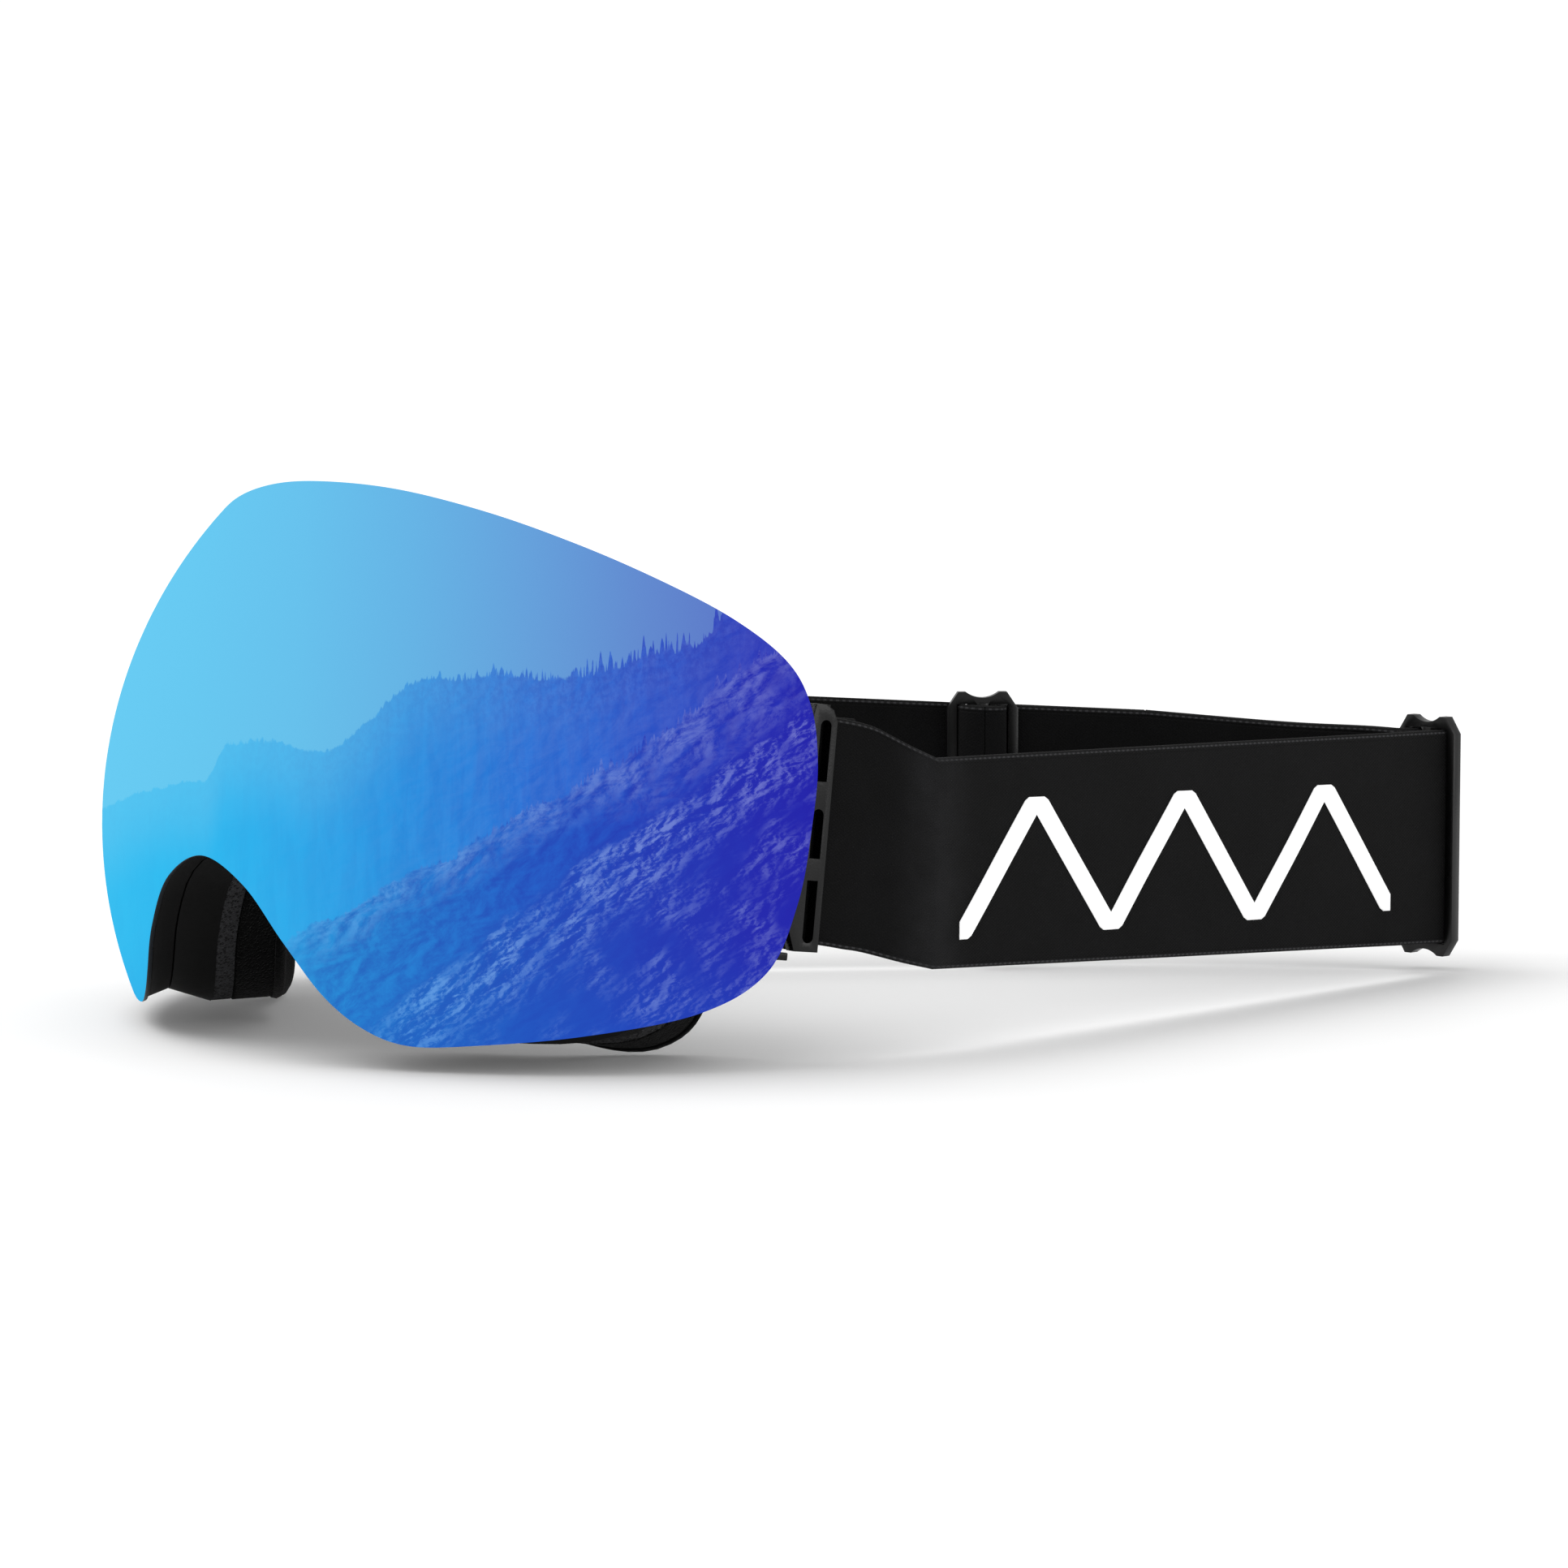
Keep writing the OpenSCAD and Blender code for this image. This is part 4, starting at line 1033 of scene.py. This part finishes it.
CREASE = [86.2, 13.0, -1.7, 0.02, 39.2]
NEAR_REAR = [REAR[0] + WOUND_RADIUS, REAR[1], REAR[2], 0.0, STRAP_WIDTH]


def station(place, lean, width):
    return list(place) + [lean, width]


def round_rear(radius, degrees):
    """Stations on an arc round the rear slider's bar."""
    arc = []
    for degree in degrees:
        a = math.radians(degree)
        x = REAR[0] + radius * math.cos(a)
        y = REAR[1] + radius * math.sin(a)
        arc.append([x, y, REAR[2], 0.0, STRAP_WIDTH])
    return arc


def right_side():
    start = station(leg_place(RIGHT_TURN, LEG, -LEG_OUT, False), FRONT_LEAN, SEWN_WIDTH)
    start[2] -= LEG_DROP
    second = station(leg_place(RIGHT_TURN, LEG + 4, -LEG_OUT, False), 0.1, 40.9)
    second[2] -= 1.2
    flex = open_curve([start, second, [84.9, 6.5, 0.6, 0.05, 40.1], CREASE], 8)
    # the seam between the sewn end and the near strap lies at this station of the curve
    seam = 13
    loop = np.vstack([loop_stations(RIGHT_TURN, False), flex[1 : seam + 1]])
    sewn = build_strap("strap_loop_right", loop, end=RUN_TO_SEAM)
    level_blend(sewn, start, flex[seam - 3])
    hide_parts("strap_end_right", "strap_flex_right")
    straight = [
        list(np.array(CREASE) + (np.array(NEAR_REAR) - np.array(CREASE)) * t)
        for t in np.linspace(0.02, 0.995, 60)
    ]
    arc = round_rear(WOUND_RADIUS, range(0, 181, 12))
    back = shifted(return_line()[:-1][::-1], LAYER)
    path = np.vstack([flex[seam:-1], [CREASE], straight, arc, back])
    near = build_strap("strap_near", path, RUN_TO_SEAM, 0.12)
    level_blend(near, flex[seam + 2], straight[3])
    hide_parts("strap_right")
    return flex


def return_line():
    points = [
        beside_slider(SLACK, -SLIDER_DROP),
        [REAR[0] - 23.5, REAR[1] - 18.4, REAR[2] + 0.9, 0, STRAP_WIDTH],
        [REAR[0] - 10.5, REAR[1] - 8.6, REAR[2] + 0.3, 0, STRAP_WIDTH],
        [REAR[0] - 4.2, REAR[1] - 5.4, REAR[2], 0, STRAP_WIDTH],
        [REAR[0] - SEWN_RADIUS, REAR[1] - 2.6, REAR[2], 0, STRAP_WIDTH],
        [REAR[0] - SEWN_RADIUS, REAR[1], REAR[2], 0, STRAP_WIDTH],
    ]
    return open_curve(points, 8)


def left_side():
    start = station(leg_place(LEFT_TURN, LEG, -LEG_OUT, True), FRONT_LEAN, SEWN_WIDTH)
    start[2] -= LEG_DROP
    points = [
        start,
        station(leg_place(LEFT_TURN, LEG + 4, -LEG_OUT, True), FRONT_LEAN, SEWN_WIDTH),
        station(leg_place(LEFT_TURN, LEG + 11, -LEG_OUT, True), 0.09, 41.8),
        station(leg_place(LEFT_TURN, LEG + 42, -LEG_OUT, True), 0.04, 43.0),
        beside_slider(-SLACK, -SLIDER_DROP),
    ]
    flex = open_curve(points, 12)
    seam = 23
    loop = np.vstack([loop_stations(LEFT_TURN, True), flex[1 : seam + 1]])
    sewn = build_strap("strap_loop_left", loop, end=210.0)
    level_blend(sewn, start, flex[seam - 3])
    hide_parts("strap_end_left", "strap_flex_left")
    far = build_strap("strap_far", flex[seam:], 210.0, 0.15)
    level_blend(far, flex[seam + 2], flex[seam + 9])
    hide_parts("strap_left")


def slider_weave():
    """Webbing through the left slider: behind its outer bars, over the middle one."""
    gate = WOUND_RADIUS + STRAP_THICK / 2 + 0.35
    drop = SLIDER_DROP
    half = [
        (-SLACK, -drop),
        (-28.0, -drop),
        (-22.0, -drop),
        (-12.0, -drop),
        (-gate - 1.2, -drop),
        (-gate + 0.05, -drop + 0.02),
        (-gate + 0.57, -drop + 0.43),
        (-gate + 0.87, -drop + 1.05),
        (-gate + 0.97, -0.3),
    ]
    radius = gate - 0.97
    for angle in range(175, 90, -17):
        a = math.radians(angle)
        half.append((radius * math.cos(a), radius * math.sin(a)))
    front = [beside_slider(*p) for p in half] + [beside_slider(0, radius)]
    rear = [beside_slider(-a, b) for a, b in half[::-1]]
    rear = [beside_slider(0, radius)] + rear
    one = build_strap("strap_weave_front", front, 300.0)
    level_blend(one, front[1], front[3])
    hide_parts("strap_left_slack")
    two = build_strap("strap_weave_rear", rear, 340.0)
    level_blend(two, rear[-4], rear[-2])


def inner_layer():
    """The layer sewn to the rear slider's middle bar."""
    arc = round_rear(SEWN_RADIUS, range(180, -1, -15))
    fold = [
        [REAR[0] + SEWN_RADIUS, REAR[1] - 2.5, REAR[2], 0, STRAP_WIDTH],
        [REAR[0] + SEWN_RADIUS - 1.6, REAR[1] - 6.6, REAR[2], 0, STRAP_WIDTH],
        [REAR[0] - 0.6, REAR[1] - 9.8, REAR[2], 0, STRAP_WIDTH],
    ]
    path = np.vstack([return_line()[:-1], arc, fold])
    inner = build_strap("strap_inner", path, 380.0, 0.0)
    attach(inner, "strap")
    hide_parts("strap_left_tail")


def sewn_tail():
    """The near strap's end, sewn round the left slider's middle bar."""
    behind = -SLIDER_DROP - LAYER
    front = [
        (SLACK, behind),
        (28.0, behind),
        (20.0, behind),
        (14.0, behind),
        (9.0, behind),
        (5.6, behind + 0.15),
        (3.0, behind + 0.75),
    ]
    path = [beside_slider(*p) for p in front]
    for angle in range(270, -1, -15):
        a = math.radians(angle)
        path.append(
            beside_slider(SEWN_RADIUS * math.cos(a), SEWN_RADIUS * math.sin(a))
        )
    path = path[::-1]
    tail = build_strap("strap_tail", path, 420.0)
    level_blend(tail, path[-4], path[-2])
    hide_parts("strap_right_tail")


def build_print():
    """Plain zigzag band printed on the outside of the near strap."""
    run = np.array(NEAR_REAR[:3]) - np.array(CREASE[:3])
    length = np.linalg.norm(run[:2])
    heading = run[:2] / length
    side = np.array([heading[1], -heading[0], 0])
    first, pitch, half, reach = 6.0, 42.5, 13.0, 3.3
    peaks = 3
    vertices, faces = [], []
    samples = np.linspace(first, first + peaks * pitch, peaks * 40 + 1)
    columns = 7
    lift = (0.80, 0.92)
    for layer in lift:
        for s in samples:
            phase = (s - first) / (pitch / 2)
            wave = 1 - abs(phase % 2 - 1)
            middle = -half + 2 * half * wave
            low, high = max(-half, middle - reach), min(half, middle + reach)
            base = np.array(CREASE[:3]) + run * (s / length)
            base[2] -= 1.3
            for w in np.linspace(low, high, columns):
                bulge = ripple((RUN_TO_CREASE + s, w - 1.3), 0.12)
                point = base + side * (layer + bulge)
                vertices.append(point + np.array([0, 0, w]))
    block = len(samples) * columns
    top = grid_faces(len(samples), columns, False, False)
    faces += [tuple(i + block for i in f) for f in top]
    faces += [f[::-1] for f in top]
    rim = list(range(columns))
    rim += [k * columns + columns - 1 for k in range(1, len(samples))]
    rim += [(len(samples) - 1) * columns + k for k in range(columns - 2, -1, -1)]
    rim += [k * columns for k in range(len(samples) - 2, 0, -1)]
    for a, b in zip(rim, rim[1:] + rim[:1]):
        faces.append((a, b, b + block, a + block))
    obj = mesh_object("strap_zigzag", to_row(np.array(vertices)), faces, WHITE_PRINT)
    recalculate(obj)
    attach(obj, "strap")
    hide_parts("strap_print")


right_side()
left_side()
slider_weave()
inner_layer()
sewn_tail()
build_print()

# ---------------------------------------------------------------- stage

FLOOR_HEIGHT = cad_box[0][2] - 0.0002


def build_stage():
    s = Shader("table")
    place = s.object_place()
    grain = s.noise(place, 8.0, 2.0)
    colour = s.mix(grain, (0.86, 0.86, 0.86, 1), (0.9, 0.9, 0.9, 1))
    distance = s.node("ShaderNodeVectorMath", {0: place}, operation="LENGTH").outputs["Value"]
    material = s.finish(
        Base_Color=colour,
        Roughness=0.6,
        Specular_IOR_Level=0.15,
        # painted light: the floor glows, faintly near the goggles and more strongly further out, so
        # that it fades into the white backdrop
        Emission_Color=(1.0, 1.0, 1.0, 1.0),
        Emission_Strength=s.between(distance, 0.2, 1.3, 0.07, 0.45),
    )
    size = 40.0
    corners = [(-size, -size), (size, -size), (size, size), (-size, size)]
    floor = mesh_object(
        "floor", [(x, y, FLOOR_HEIGHT) for x, y in corners], [(0, 1, 2, 3)], material
    )
    world = bpy.data.worlds.new("studio")
    world.use_nodes = True
    nodes, links = world.node_tree.nodes, world.node_tree.links
    background = nodes["Background"]
    background.inputs["Color"].default_value = (1.0, 1.0, 1.0, 1.0)
    # the backdrop looks pure white, and lights the goggles a little less
    seen = nodes.new("ShaderNodeLightPath").outputs["Is Camera Ray"]
    strength = nodes.new("ShaderNodeMapRange")
    links.new(seen, strength.inputs["Value"])
    strength.inputs["To Min"].default_value = 0.7
    strength.inputs["To Max"].default_value = 1.05
    links.new(strength.outputs["Result"], background.inputs["Strength"])
    bpy.context.scene.world = world
    lamps = [
        ("softbox_top", (-0.35, -0.45, 1.1), (0.05, 0.05, 0.0), 1.0, 11.0),
        ("softbox_side", (1.2, 0.5, 0.35), (0.08, 0.05, 0.0), 0.6, 3.0),
    ]
    for name, place, target, width, power in lamps:
        data = bpy.data.lights.new(name, "AREA")
        data.energy = power
        data.size = width
        lamp = bpy.data.objects.new(name, data)
        lamp.location = place
        aim = Vector(target) - Vector(place)
        lamp.rotation_mode = "QUATERNION"
        lamp.rotation_quaternion = aim.to_track_quat("-Z", "Y")
        bpy.context.scene.collection.objects.link(lamp)


def build_camera():
    data = bpy.data.cameras.new("camera")
    data.lens = 127.9
    data.sensor_width = 36.0
    data.clip_start = 0.05
    data.clip_end = 50.0
    camera = bpy.data.objects.new("camera", data)
    place = Vector((0.80252, -0.71433, 0.10769))
    target = Vector((0.02696, 0.03034, -0.00257))
    camera.location = place
    camera.rotation_mode = "QUATERNION"
    camera.rotation_quaternion = (target - place).to_track_quat("-Z", "Y")
    bpy.context.scene.collection.objects.link(camera)
    bpy.context.scene.camera = camera


build_stage()
build_camera()
bpy.context.scene.view_settings.view_transform = "Standard"
